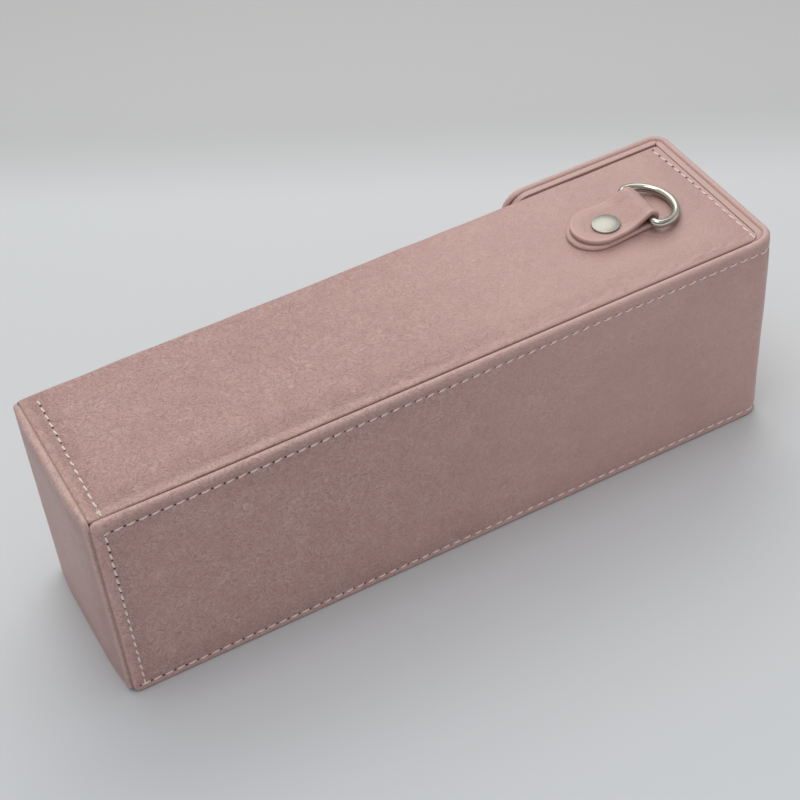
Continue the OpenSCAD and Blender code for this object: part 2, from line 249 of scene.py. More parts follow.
def unit_rows(vectors):
    """Each row of an array as a unit vector."""
    return vectors / np.linalg.norm(vectors, axis=1)[:, None]


def samples(lo, hi, step, dense=(), dense_step=0.5):
    """Positions from lo to hi, a step apart, closer together in the dense stretches."""
    marks = [lo]
    stretches = sorted(dense) + [(hi, hi)]
    at = lo
    for start, end in stretches:
        count = max(1, int(round((start - at) / step)))
        marks.extend(np.linspace(at, start, count + 1)[1:])
        if end > start:
            count = max(1, int(round((end - start) / dense_step)))
            marks.extend(np.linspace(start, end, count + 1)[1:])
        at = end
    return np.unique(np.round(marks, 5))


# A thickness so great that a plate's inner face gets no painted shade.
NO_INNER_SHADE = 1e3
EDGE_INSETS = [0, 0.02, 0.08, 0.19, 0.33, 0.5, 0.7, 0.92, 1.16, 1.4]
SEAM_INSETS = [1.8, 2.2, 2.6, 3.0, 3.4, 3.8, 4.2, 4.6, 5.0, 5.4, 5.8, 6.4, 7.2]


class Outline:
    """A rounded rectangle from (0, 0) to size; radii are those at its low and high end."""

    def __init__(self, size, radii, us, vs, corner_steps=8):
        self.size = size
        self.radii = radii
        self.us = us
        self.vs = vs
        self.turns = np.linspace(0, np.pi / 2, corner_steps + 1)

    def ring(self, inset):
        """Points all the way round, taken in by inset, with their outward normals."""
        length, width = self.size
        r_lo, r_hi = self.radii
        lo, hi = max(r_lo, inset), max(r_hi, inset)
        corners = [
            (length - hi, hi, hi - inset, -np.pi / 2),
            (length - hi, width - hi, hi - inset, 0),
            (lo, width - lo, lo - inset, np.pi / 2),
            (lo, lo, lo - inset, np.pi),
        ]
        along = np.clip(self.us, lo, length - hi)
        up_hi = np.clip(self.vs, hi, width - hi)
        up_lo = np.clip(self.vs, lo, width - lo)
        sides = [
            np.stack([np.full(up_hi.shape, length - inset), up_hi], 1),
            np.stack([along[::-1], np.full(along.shape, width - inset)], 1),
            np.stack([np.full(up_lo.shape, inset), up_lo[::-1]], 1),
            np.stack([along, np.full(along.shape, inset)], 1),
        ]
        outward = [(1, 0), (0, 1), (-1, 0), (0, -1)]
        points, normals = [], []
        for (cx, cy, r, start), side, out in zip(corners, sides, outward):
            turns = start + self.turns
            out_turns = np.stack([np.cos(turns), np.sin(turns)], 1)
            points.append(np.array([cx, cy]) + r * out_turns)
            normals.append(out_turns)
            points.append(side)
            normals.append(np.tile(out, (len(side), 1)))
        return np.concatenate(points), np.concatenate(normals).astype(float)


def plate(name, outline, outer, inner, place, thick, seam_rings=True, crease=None):
    """Closed mesh of a plate: outer and inner are heights over the outline, place maps to space.

    outer and inner take the points and their distance from the edge, and give the depth below
    the outer face. place takes points and depths. crease gives the painted shade of folds and gaps, from 0 to
    1.
    """
    half = min(outline.size) / 2
    insets = EDGE_INSETS + [i for i in SEAM_INSETS if seam_rings and i < half]
    while insets[-1] < max(outline.radii) and insets[-1] < half:
        insets.append(min(insets[-1] + 1.0, half))
    verts, uvs, edge, painted_shade, faces = [], [], [], [], []

    def add(points, depth, uv, distance):
        start = sum(map(len, verts))
        verts.append(place(points, depth))
        uvs.append(uv)
        edge.append(distance)
        # Painted shade: the part nearest the inner face is darkened as if it lay in shade.
        fold = ease((depth / thick - 0.9) / 0.1)
        painted_shade.append(fold if crease is None else np.maximum(fold, crease(points, depth)))
        return start

    rings = []
    rim, _ = outline.ring(EDGE_INSETS[-1])
    for side, order in ((outer, insets[::-1]), (inner, insets)):
        for inset in order:
            points, normals = outline.ring(inset)
            distance = np.full(len(points), float(inset))
            rings.append((points, normals, distance, side(points, distance), side is inner))
    travelled = np.zeros(len(rim))
    before = None
    starts = []
    for points, normals, distance, depth, is_inner in rings:
        if distance[0] > EDGE_INSETS[-1] and not is_inner:
            uv = points
        else:
            flat = np.concatenate([points, depth[:, None]], 1)
            if before is not None:
                travelled = travelled + np.linalg.norm(flat - before, axis=1)
            before = flat
            uv = rim + normals * travelled[:, None]
        starts.append(add(points, depth, uv, distance))
    count = len(rim)
    index = np.arange(count)
    after = np.roll(index, -1)
    for a, b in zip(starts, starts[1:]):
        faces.append(np.stack([a + index, b + index, b + after, a + after], 1))
    deepest = insets[-1]
    if deepest < half:
        us = np.unique(np.clip(outline.us, deepest, outline.size[0] - deepest))
        vs = np.unique(np.clip(outline.vs, deepest, outline.size[1] - deepest))
        grid = np.stack(np.meshgrid(us, vs, indexing="ij"), -1).reshape(-1, 2)
        distance = np.minimum.reduce(
            [grid[:, 0], grid[:, 1], outline.size[0] - grid[:, 0], outline.size[1] - grid[:, 1]]
        )
        for side in (outer, inner):
            shift = 0 if side is outer else outline.size[1] * 1.5
            start = add(grid, side(grid, distance), grid + [0, shift], distance)
            i, j = np.meshgrid(np.arange(len(us) - 1), np.arange(len(vs) - 1), indexing="ij")
            first = (start + i * len(vs) + j).reshape(-1)
            quad = np.stack([first, first + len(vs), first + len(vs) + 1, first + 1], 1)
            faces.append(quad if side is outer else quad[:, ::-1])
    # The crease attribute carries painted shade for folds, gaps and edges.
    return solid_mesh(name, np.concatenate(verts), np.concatenate(faces), np.concatenate(uvs),
                      {"edge": np.concatenate(edge), "crease": np.concatenate(painted_shade)})


def solid_mesh(name, verts, faces, uvs=None, values=None):
    """A closed smooth mesh from points in the case's millimetres, with doubles merged."""
    mesh = bpy.data.meshes.new(name)
    mesh.from_pydata(row(verts).tolist(), [], [list(map(int, f)) for f in faces])
    if uvs is not None:
        layer = mesh.uv_layers.new(name="leather_mm")
        loops = np.zeros(len(mesh.loops), np.int32)
        mesh.loops.foreach_get("vertex_index", loops)
        layer.data.foreach_set("uv", (uvs[loops] / 100).astype(np.float32).reshape(-1))
    for key, data in (values or {}).items():
        attribute = mesh.attributes.new(key, "FLOAT", "POINT")
        attribute.data.foreach_set("value", np.asarray(data, np.float32))
    bm = bmesh.new()
    bm.from_mesh(mesh)
    bmesh.ops.remove_doubles(bm, verts=bm.verts, dist=2e-6)
    bmesh.ops.dissolve_degenerate(bm, edges=bm.edges, dist=1e-6)
    bmesh.ops.recalc_face_normals(bm, faces=bm.faces)
    for face in bm.faces:
        face.smooth = True
    bm.to_mesh(mesh)
    bm.free()
    return mesh


def show(name, mesh, material=None):
    """Adds the mesh to the scene as a piece at the origin, all of one material if one is given."""
    piece = bpy.data.objects.new(name, mesh)
    bpy.context.scene.collection.objects.link(piece)
    if material is not None:
        mesh.materials.clear()
        mesh.materials.append(material)
    return piece


# ---- Paths that the leather follows ----


def unit(angle):
    """The direction at an angle in the plane, and the direction to its left."""
    return np.array([math.cos(angle), math.sin(angle)]), np.array([-math.sin(angle), math.cos(angle)])


class Path:
    """A plan curve of straight and round stretches, with its left-hand normal pointing inwards.

    stretches holds pairs: a length and no radius, or a turn in degrees and its radius.
    """

    def __init__(self, start, stretches):
        self.parts = []
        at, angle, run = np.array(start, float), 0.0, 0.0
        for value, radius in stretches:
            ahead, left = unit(angle)
            turn = math.radians(value) if radius else 0.0
            length = abs(turn) * radius if radius else value
            self.parts.append((run, run + length, at.copy(), angle, turn, radius))
            run += length
            if radius:
                centre = at + math.copysign(1, turn) * radius * left
                angle += turn
                at = centre - math.copysign(1, turn) * radius * unit(angle)[1]
            else:
                at = at + value * ahead
        self.length = run

    def at(self, s):
        """Points and inward normals at distances along the path."""
        s = np.asarray(s, float)
        points = np.zeros((len(s), 2))
        normals = np.zeros((len(s), 2))
        for k, (lo, hi, at, angle, turn, radius) in enumerate(self.parts):
            last = k == len(self.parts) - 1
            mask = ((s >= lo) | (k == 0)) & ((s < hi) | last)
            d = s[mask] - lo
            ahead, left = unit(angle)
            if turn == 0:
                points[mask] = at + d[:, None] * ahead
                normals[mask] = left
            else:
                sign = math.copysign(1, turn)
                now = angle + sign * d / radius
                normal = np.stack([-np.sin(now), np.cos(now)], 1)
                points[mask] = at + sign * radius * left - sign * radius * normal
                normals[mask] = normal
        return points, normals


def strap_size():
    """Length and depth round the strap's outer face, and its bends' radius."""
    sizes = bpy.context.scene.case_sizes
    return CASE_L + sizes.lid_proud, CASE_D + sizes.front_proud, sizes.bend_r


def strap_path():
    """Plan of the strap's outer face: back wall, bend, lid, bend, flap."""
    length, depth, r = strap_size()
    stretches = [length - r - STRAP_START, depth - 2 * r, length - r - FLAP_END]
    return bent_path((STRAP_START, 0), stretches, r)


def bent_path(start, lengths, r):
    """A path of straight stretches with quarter turns between them."""
    first, second, third = lengths
    return Path(start, [(first, 0), (90, r), (second, 0), (90, r), (third, 0)])


def wrap_box():
    """Low and high corner of the body's wrap of leather."""
    lo, hi = BODY
    sizes = bpy.context.scene.case_sizes
    return lo + [WRAP_START - lo[0], 0, 0], hi + [0.55, sizes.front_proud, 0]


def wrap_path():
    """Section of the body's outer face, seen along its length: plain side, front wall, ring side."""
    sizes = bpy.context.scene.case_sizes
    r = sizes.front_edge_r
    lo, hi = wrap_box()
    side, front = hi[1] - lo[1] - r, hi[2] - lo[2] - 2 * r
    return bent_path((lo[1], lo[2]), (side, front, side), r)


def rim_sink(points):
    """How far the strap's upper edge sits below its plain height along the back wall."""
    first, _, arc = bend_starts()
    low = bpy.context.scene.case_sizes.rim_low
    from_row = CASE_H - bpy.context.scene.seam_sizes.top_in + 0.6
    up = ease((points[:, 1] - from_row) / (CASE_H - from_row - 0.9))
    along = 1 - ease((points[:, 0] - first + 5) / (arc + 3))
    return low * up * along * (0.55 + 0.45 * ease(points[:, 0] / 40))


def along_strap(path, sink=0.0):
    """Maps length, height and depth to the case, sink below the strap's outer face."""

    def place(points, depth):
        plan, inward = path.at(points[:, 0])
        xy = plan + inward * (depth + sink)[:, None]
        return np.concatenate([xy, points[:, 1:2] - rim_sink(points)[:, None]], 1)

    return place


def seam_dip(away):
    """Dip of the leather at a distance from a stitch row."""
    seam = bpy.context.scene.seam_sizes
    return seam.groove * hump(away, seam.groove_w)


# ---- Leather pieces ----


def bend_starts():
    """Where the strap's two bends start along it, and how long each is."""
    length, depth, r = strap_size()
    arc = math.pi / 2 * r
    first = length - r - STRAP_START
    return first, first + arc + depth - 2 * r, arc


def strap_face(points, distance=None):
    """Depth of the strap's outer face: its crowned edges, its stitch rows and soft unevenness."""
    sizes = bpy.context.scene.case_sizes
    seam = bpy.context.scene.seam_sizes
    length = strap_path().length
    s, z = points[:, 0], points[:, 1]
    if distance is None:
        distance = np.minimum.reduce([s, length - s, z, CASE_H - z])
    first, second, arc = bend_starts()
    middle = (first + arc + second) / 2
    rows = np.minimum(np.abs(z - (CASE_H - seam.top_in)), np.abs(z - seam.bottom_in))
    rows = np.where((s > seam.bottom_in - 1) & (s < length - seam.end_in), rows, 9.0)
    ends = np.minimum(np.abs(s - seam.end_in), np.abs(s - (length - seam.end_in)))
    within = (z > seam.bottom_in) & (z < CASE_H - seam.top_in)
    away = np.minimum(rows, np.where(within, ends, 9.0))
    calm = ease(distance / 4) * ease(np.abs(s - middle) / 12)
    slow = slow_noise(points, 46, 19, 11)
    low = ease((z - 3) / 4)
    width = sizes.crown_w * low + 1.0 * (1 - low)
    drop = STRAP_T / 2 * low + 1.0 * (1 - low)
    return roll(distance, width, drop) + seam_dip(away) + sizes.relief * slow * calm


def strap_meshes():
    """The strap of outer leather as two meshes that meet in the middle of the lid."""
    sizes = bpy.context.scene.case_sizes
    path = strap_path()
    first, second, arc = bend_starts()
    us = samples(0, path.length, sizes.grid, [(first - 2, first + arc + 2), (second - 2, second + arc + 2)])
    vs = samples(0, CASE_H, sizes.grid)
    outline = Outline((path.length, CASE_H), (sizes.back_corner_r, sizes.flap_corner_r), us, vs)
    half = STRAP_T / 2

    def inner(points, distance):
        return STRAP_T - roll(distance, half, half)

    # Painted shade along the strap's lower edge, where it meets the floor.
    def painted_shade(points, depth):
        return 0.75 * hump(points[:, 1], 0.7)

    return halves("strap", outline, strap_face, inner, along_strap(path), STRAP_T, painted_shade)


def halves(name, outline, outer, inner, place, thick, painted_shade):
    """A plate along the strap as two meshes that meet in the middle of the lid."""
    meshes = []
    for end, normal in (("back_lid", (0, 1, 0)), ("lid_flap", (0, -1, 0))):
        mesh = plate(f"{name}_{end}", outline, outer, inner, place, thick, crease=painted_shade)
        meshes.append(cut_strap(mesh, normal))
    return meshes


def cut_strap(mesh, normal):
    """Keeps the part of a strap mesh on one side of the lid's middle, with its cut closed."""
    point = (CASE_L, CASE_D / 2, 0)
    bm = bmesh.new()
    bm.from_mesh(mesh)
    geometry = bm.verts[:] + bm.edges[:] + bm.faces[:]
    cut = bmesh.ops.bisect_plane(bm, geom=geometry, plane_co=row(point), plane_no=normal,
                                 clear_outer=True, dist=1e-7)
    rim = [e for e in cut["geom_cut"] if isinstance(e, bmesh.types.BMEdge)]
    bmesh.ops.holes_fill(bm, edges=rim, sides=0)
    for edge in rim:
        edge.smooth = False
    bmesh.ops.recalc_face_normals(bm, faces=bm.faces)
    bm.to_mesh(mesh)
    bm.free()
    return mesh


LINING_EARLY = 3.2
LINING_THINNEST = 0.06
LINING_RISE = (1.2, 5.2)
FLAP_PINCHES = ((0.95, 0.0, 0.55), (0.45, 2.1, 0.4))


def lining_meshes():
    """The padded inner leather of the lid and the flap, as two meshes that meet on the lid."""
    sizes = bpy.context.scene.case_sizes
    path = strap_path()
    first, second, arc = bend_starts()
    start = first - LINING_EARLY
    end = path.length - (FLAP_PAD_LO[0] - FLAP_LO[0])
    low = LID_PAD_LO[2]
    height = CASE_H - 2 * low
    bend_at = second - start
    us = samples(0, end - start, sizes.grid, [(0.1, arc + 6), (bend_at - 3, bend_at + arc + 3)], 0.4)
    vs = samples(0, height, sizes.grid)
    outline = Outline((end - start, height), (1.0, sizes.flap_corner_r - low), us, vs)
    place_strap = along_strap(path, STRAP_T - TUCK)
    fold = bend_at + arc / 2

    def thickness(points):
        full = PAD_T + 0.12 - LINING_THINNEST
        return LINING_THINNEST + full * ease((points[:, 0] - LINING_RISE[0]) / LINING_RISE[1])

    def inner(points, distance):
        thick = thickness(points) + TUCK
        crease = sum(high * hump(points[:, 0] - fold + before, wide) for high, before, wide in FLAP_PINCHES)
        slow = 0.06 * smooth_noise(points, 21, 31) * ease(distance / 4) * ease(points[:, 0] / 20)
        return thick - np.minimum(thick * 0.5, roll(distance, 0.4, 0.15)) - crease + slow

    def outer(points, distance):
        return np.minimum(thickness(points) * 0.5 + TUCK * 0.5, roll(distance, 1.2, 1.0))

    # Painted shade in the pinch of the flap's fold, and a faint painted shade over the lining's outer face.
    def painted_shade(points, depth):
        pinched = 0.5 * hump(points[:, 0] - fold, 0.7)
        return np.maximum(pinched, 0.1 * (1 - ease(depth / 0.5)))

    def place(points, depth):
        return place_strap(points + [start, low], depth)

    return halves("lining", outline, outer, inner, place, NO_INNER_SHADE, painted_shade)


def back_distance(points, path):
    """Distance of the wrap's points from its nearer edge along the back wall."""
    return np.minimum(points[:, 1], path.length - points[:, 1])


def wrap_rows(back):
    """The two rows of stitches across a side, as distances from the wrap's base end.

    They drift a little, because the seams were guided by hand. back is the distance from
    the side's edge along the back wall.
    """
    seam = bpy.context.scene.seam_sizes
    lo, hi = wrap_box()
    length = hi[0] - lo[0]
    base = BODY[0][0] - lo[0] + seam.side_in - 0.65 + 1.3 * ease(back / 60)
    mouth = length - seam.mouth_in - 1.2 * np.clip((back - 28) / 30, 0, 1) ** 2
    return base, mouth


BASE_ROLLS = ((2.6, 0.75), (0.7, 1.1))
MOUTH_ROLL = 2.0
SWELL_END = (40, 55)


def wrap_face(points, distance=None):
    """Depth of the wrap's outer face: rolled edges, stitch rows, swelling and fine wrinkles."""
    sizes = bpy.context.scene.case_sizes
    path = wrap_path()
    lo, hi = wrap_box()
    length = hi[0] - lo[0]
    x, back = points[:, 0], back_distance(points, path)
    if distance is None:
        distance = np.minimum.reduce([x, length - x, back])
    side = hi[1] - lo[1]
    rolls = [roll(x, width, drop) for width, drop in BASE_ROLLS]
    rolls += [roll(back, sizes.roll_w, sizes.roll_drop), roll(length - x, MOUTH_ROLL, 0.8 * LID_PAD_LO[2])]
    base_row, mouth_row = wrap_rows(back)
    away = np.minimum(np.abs(x - base_row), np.abs(x - mouth_row))
    near = hump(back, 5.5)
    pebble = 0.09 * smooth_noise(points * [0.7, 1], 2.3, 5) + 0.06 * smooth_noise(points, 4.5, 6)
    slow = slow_noise(points, 40, 17, 21)
    calm = ease(distance / 3)
    swell = sizes.front_puff * ease((back - side + 3) / 4) * (1 - ease((x - SWELL_END[0]) / SWELL_END[1]))
    on_side = 1 - ease((back - side + 4) / 3)
    depth = np.maximum.reduce(rolls) + seam_dip(away) * on_side
    return depth + calm * (sizes.relief * slow + near * pebble) - swell


def wrap_mesh():
    """The body's wrap of leather over its three boards, with soft rolled edges."""
    sizes = bpy.context.scene.case_sizes
    path = wrap_path()
    r = sizes.front_edge_r
    lo, hi = wrap_box()
    length = hi[0] - lo[0]
    side = hi[1] - lo[1] - r
    arc = math.pi / 2 * r
    front = hi[2] - lo[2] - 2 * r
    us = samples(0, length, 0.42 * sizes.grid)
    vs = samples(0, path.length, 1.4 * sizes.grid,
                 [(side, side + arc), (side + arc + front, side + 2 * arc + front)], 0.4)
    outline = Outline((length, path.length), (1.0, sizes.mouth_corner_r), us, vs)

    def inner(points, distance):
        on_front = ease((back_distance(points, path) - side - arc - 2) / 3)
        return WRAP_T - roll(distance, 0.7, 0.5) + sizes.front_proud * on_front

    # Painted shade in the grooves along the back wall's edge and along the base end.
    def painted_shade(points, depth):
        return np.maximum(0.25 * hump(back_distance(points, path), 0.4), hump(points[:, 0], 0.55))

    def place(points, depth):
        section, inward = path.at(points[:, 1])
        yz = section + inward * depth[:, None]
        return np.stack([lo[0] + points[:, 0], yz[:, 0], yz[:, 1]], 1)

    return plate("body_wrap", outline, wrap_face, inner, place, WRAP_T, crease=painted_shade)


PILLOW_BACK = (1.15, 18)
PILLOW_FRONT = (1.0, 16)
FRONT_ROUND = (4.2, 1.1)
HOLLOW = (0.12, 3.4, 1.6)
BASE_RIM = (1.6, 0.45, 0.35)
BOARD_GAP = 0.25


def base_mesh():
    """The base end's turned leather, soft like a thin cushion."""
    sizes = bpy.context.scene.case_sizes
    hi = BASE_HI - ORIGIN
    proud = sizes.base_proud
    width = hi[1] - BASE_START + sizes.front_proud + 0.9 * sizes.front_puff
    size = (CASE_H - 2 * BASE_DOWN, width)
    us = samples(0, size[0], sizes.grid)
    vs = samples(0, size[1], sizes.grid)
    outline = Outline(size, (sizes.base_corner_r, sizes.base_corner_r), us, vs)

    def pillow(points):
        """How far the padded face falls back towards the back wall and the front wall."""
        from_front = size[1] - points[:, 1]
        back = PILLOW_BACK[0] * (1 - ease(points[:, 1] / PILLOW_BACK[1]))
        front = PILLOW_FRONT[0] * (1 - ease(from_front / PILLOW_FRONT[1])) + roll(from_front, *FRONT_ROUND)
        return back + front

    def outer(points, distance):
        deep, at, wide = HOLLOW
        rim, less, least = BASE_RIM
        slow = slow_noise(points, 34, 15, 41)
        face = pillow(points) + deep * hump(distance - at, wide) + sizes.relief * slow * ease(distance / 4)
        return face + roll(distance, rim, np.maximum(BASE_BEAD - less * pillow(points), least))

    def inner(points, distance):
        over_board = (STRAP_T - WRAP_START - 0.35) * ease((distance - 4.6) / 0.8)
        return proud + WRAP_START + BOARD_GAP + over_board - roll(distance, 0.9, 1.0)

    # Painted shade on the deeper part of the base leather's edge, in the groove beside the back wall.
    def painted_shade(points, depth):
        return 0.3 * hump(points[:, 1], 0.35) * (depth > 0.7)

    def place(points, depth):
        return np.stack([depth - proud, BASE_START + points[:, 1], points[:, 0] + BASE_DOWN], 1)

    return plate("base_leather", outline, outer, inner, place, STRAP_T + proud, crease=painted_shade)


def lining_panel(name, node, face, puff=0.12, edge_r=0.28, top=CASE_H, shift=(0, 0, 0), corner=None,
                 trim=((0, 0, 0), (0, 0, 0))):
    """One soft lining panel or board, on the wall that face points from, no higher than top.

    shift moves it, corner rounds the corners at its low end along the case, and trim
    shortens its low and high ends.
    """
    lo, hi = (c - ORIGIN + shift for c in node_span(node))
    hi[2] = min(hi[2], top)
    lo, hi = lo + trim[0], hi - trim[1]
    axis = "xyz".index(face[1])
    along = [k for k in range(3) if k != axis]
    if corner is None and hi[along[0]] - lo[along[0]] < hi[along[1]] - lo[along[1]]:
        along = along[::-1]
    size = tuple(hi[along] - lo[along])
    thick = hi[axis] - lo[axis]
    us = samples(0, size[0], 4)
    vs = samples(0, size[1], 4)
    outline = Outline(size, (corner or 0.8, 0.8), us, vs, 8)
    rim = min(edge_r, thick / 2)
    seed = sum(map(ord, name))

    def outer(points, distance):
        soft = puff * (1 - ease(distance / 6))
        slow = 0.25 * puff * smooth_noise(points, 23, seed) * ease(distance / 5)
        return roll(distance, rim, rim) + soft * 0.5 + slow

    def inner(points, distance):
        return thick - roll(distance, rim, rim * 0.5)

    def place(points, depth):
        out = np.zeros((len(points), 3))
        out[:, along[0]] = lo[along[0]] + points[:, 0]
        out[:, along[1]] = lo[along[1]] + points[:, 1]
        out[:, axis] = hi[axis] - depth if face[0] == "+" else lo[axis] + depth
        return out

    return plate(name, outline, outer, inner, place, NO_INNER_SHADE, seam_rings=False)


# ---- Ring tab, rivet and ring ----


def tab_to_case(points):
    """Points in the tab's own frame on the ring side, as the case's millimetres."""
    tab = bpy.context.scene.tab_sizes
    a = math.radians(tab.turn)
    x = tab.at[0] + math.cos(a) * points[:, 0] - math.sin(a) * points[:, 1]
    y = tab.at[1] + math.sin(a) * points[:, 0] + math.cos(a) * points[:, 1]
    return np.stack([x, y, BODY[1][2] + points[:, 2]], 1)


def cap_in_tab():
    """Middle of the rivet's cap in the tab's own frame."""
    tab = bpy.context.scene.tab_sizes
    a = math.radians(-tab.turn)
    dx, dy = CAP_XY[0] - tab.at[0], CAP_XY[1] - tab.at[1]
    return math.cos(a) * dx - math.sin(a) * dy, math.sin(a) * dx + math.cos(a) * dy


def tab_profile():
    """Side view of the tab's outer face, from the lower end round the bar to the upper end."""
    tab = bpy.context.scene.tab_sizes
    bar_r = tab.wire_d / 2 + tab.clear + tab.thick
    cap_x, _ = cap_in_tab()
    climb_x = cap_x + CAP_D / 2 + 1
    run, drop = tab.reach - climb_x, 2 * tab.thick - bar_r
    climb = math.asin(bar_r / math.hypot(run, drop)) - math.atan2(drop, run)
    lower = [(x, 0.0) for x in np.linspace(-tab.end_r - tab.step, tab.reach, 60)]
    turns = np.linspace(-math.pi / 2, math.pi / 2 + climb, 60)[1:]
    loop = [(tab.reach + bar_r * math.cos(t), bar_r + bar_r * math.sin(t)) for t in turns]
    leave = np.array(loop[-1])
    foot = np.array([climb_x, 2 * tab.thick])
    soft = 3.0
    toward = (leave - foot) / np.linalg.norm(leave - foot)
    start, end = foot + toward * soft, foot - np.array([soft, 0])
    slope = [tuple(leave + (start - leave) * f) for f in np.linspace(0, 1, 8)[1:]]
    curve = []
    for f in np.linspace(0, 1, 14)[1:]:
        curve.append(tuple((1 - f) ** 2 * start + 2 * f * (1 - f) * foot + f * f * end))
    flat = [(x, 2 * tab.thick) for x in np.linspace(end[0], -tab.end_r, 26)[1:]]
    return np.array(lower + loop + slope + curve + flat)


def tab_mesh():
    """The ring tab: one strip of leather folded round the ring's bar."""
    tab = bpy.context.scene.tab_sizes
    line = tab_profile()
    steps = np.linalg.norm(np.diff(line, axis=0), axis=1)
    run = np.concatenate([[0], np.cumsum(steps)])
    total = run[-1]
    us = samples(0, total, 0.8)
    vs = np.linspace(0, 2 * tab.end_r, 25)
    outline = Outline((total, 2 * tab.end_r), (tab.end_r, tab.end_r), us, vs, 16)
    thick = tab.thick - 0.02
    cap_x, cap_y = cap_in_tab()

    def side_view(s):
        here, ahead, behind = (
            np.stack([np.interp(s + shift, run, line[:, k]) for k in (0, 1)], 1) for shift in (0, 0.4, -0.4)
        )
        tangent = unit_rows(ahead - behind)
        return here, np.stack([-tangent[:, 1], tangent[:, 0]], 1)

    def across(points, where):
        narrow = np.interp(where[:, 0], [0, tab.reach + 3], [1, tab.loop_w / 2 / tab.end_r])
        return (points[:, 1] - tab.end_r) * narrow

    def upper_layer(where):
        return ease((where[:, 1] - tab.thick) / 0.5)

    def outer(points, distance):
        where, _ = side_view(points[:, 0])
        y, upper = across(points, where), upper_layer(where)
        away = np.hypot(where[:, 0] - cap_x, y - cap_y)
        press = 0.22 * hump(away, 6.5) * upper
        uneven = 0.05 * smooth_noise(points, 9, 61) * ease(distance / 2)
        return roll(distance, 0.55, 0.45) + press + uneven * upper

    def inner(points, distance):
        upper = upper_layer(side_view(points[:, 0])[0])
        return thick - (1 - upper) * roll(distance, 1.1, 0.95) - upper * roll(distance, 0.3, 0.25)

    # Painted shade under the upper layer's edge, and along the lower layer where it meets the side.
    def painted_shade(points, depth):
        upper = upper_layer(side_view(points[:, 0])[0])
        below = ease((depth / thick - 0.62) / 0.2)
        return 0.8 * upper * below + (1 - upper) * 0.7 * ease((0.5 - depth / thick) / 0.3)

    def place(points, depth):
        where, inward = side_view(points[:, 0])
        xz = where + inward * depth[:, None]
        return tab_to_case(np.stack([xz[:, 0], across(points, where), xz[:, 1]], 1))

    return plate("tab_leather", outline, outer, inner, place, NO_INNER_SHADE, seam_rings=False, crease=painted_shade)


def cap_mesh():
    """The rivet's domed cap with its rolled rim."""
    r = CAP_D / 2
    height = CAP_HI[2] - CAP_LO[2]
    rim_r = 0.32
    flatness = 2.3
    profile = [(f * (r - rim_r), height - (height - 2 * rim_r) * f ** flatness) for f in np.linspace(0, 1, 22)]
    for a in map(math.radians, np.linspace(80, -90, 12)):
        profile.append((r - rim_r + rim_r * math.cos(a), rim_r + rim_r * math.sin(a)))
    profile.append((0.0, 0.0))
    turns = 96
    verts, faces = [], []
    for k in range(turns):
        a = 2 * math.pi * k / turns
        verts += [(x * math.cos(a), x * math.sin(a), z) for x, z in profile]
    n = len(profile)
    for k in range(turns):
        a, b = k * n, (k + 1) % turns * n
        faces += [(a + i, b + i, b + i + 1, a + i + 1) for i in range(n - 1)]
    local = np.array(verts) + [CAP_XY[0], CAP_XY[1], CAP_Z]
    return solid_mesh("rivet_cap_nickel", local, faces)


def tube(centres, across, up, radii, sides, closed=False):
    """Points and faces of a tube about a line; across and up are unit rows square to the line."""
    turns = 2 * np.pi * np.arange(sides)[:, None] / sides
    around = np.cos(turns) * across[:, None] + np.sin(turns) * up[:, None]
    verts = (centres[:, None] + np.reshape(radii, (-1, 1, 1)) * around).reshape(-1, 3)
    count, faces = len(centres), []
    for i in range(count if closed else count - 1):
        a, b = i * sides, (i + 1) % count * sides
        faces += [(a + k, a + (k + 1) % sides, b + (k + 1) % sides, b + k) for k in range(sides)]
    if not closed:
        faces += [tuple(range(sides)), tuple(range((count - 1) * sides, count * sides))]
    return verts, faces


def ring_mesh():
    """The D-ring: bent wire with round corners beside its bar, lying against the side."""
    tab = bpy.context.scene.tab_sizes
    wire = tab.wire_d / 2
    bar_z = wire + tab.clear + tab.thick
    big = tab.ring_w / 2 + wire
    tilt = math.asin((bar_z - wire - tab.lie_gap) / (tab.leg + big))
    rc = tab.corner_r
    leg_end = max(tab.leg, rc)

    def bend(first, last, count, x, y, wide, high):
        """Points round part of an ellipse about (x, y), between two angles in degrees."""
        turns = map(math.radians, np.linspace(first, last, count))
        return [(x + wide * math.cos(a), y + high * math.sin(a)) for a in turns]

    line = np.array([
        *((0, y) for y in np.linspace(-big + rc, big - rc, 40)),
        *bend(180, 90, 14, rc, big - rc, rc, rc)[1:],
        *bend(90, -90, 90, leg_end, 0, tab.leg + big - leg_end, big),
        *bend(-90, -180, 14, rc, -big + rc, rc, rc),
    ])
    line = line[np.linalg.norm(line - np.roll(line, 1, axis=0), axis=1) > 1e-4]
    tangent = unit_rows(np.roll(line, -1, axis=0) - np.roll(line, 1, axis=0))
    zero = np.zeros(len(line))
    side = np.stack([-tangent[:, 1], tangent[:, 0], zero], 1)
    up = np.tile((0.0, 0.0, 1.0), (len(line), 1))
    v, faces = tube(np.column_stack([line, zero]), side, up, wire, 28, closed=True)
    x = v[:, 0] * math.cos(tilt) + v[:, 2] * math.sin(tilt)
    z = -v[:, 0] * math.sin(tilt) + v[:, 2] * math.cos(tilt)
    local = np.stack([tab.reach + x, v[:, 1] + tab.slip, bar_z + z], 1)
    return solid_mesh("d_ring_nickel", tab_to_case(local), faces)


# ---- Stitches ----


STITCH_SHAPE = {"Lift": 0.00022, "Slant": 0.15, "Bow": -0.00022, "Wander": 0.05}
HOLE_DEPTH = 0.00014
HOLE_SUNK = -0.00006
HOLE_SEED_SHIFT = 50


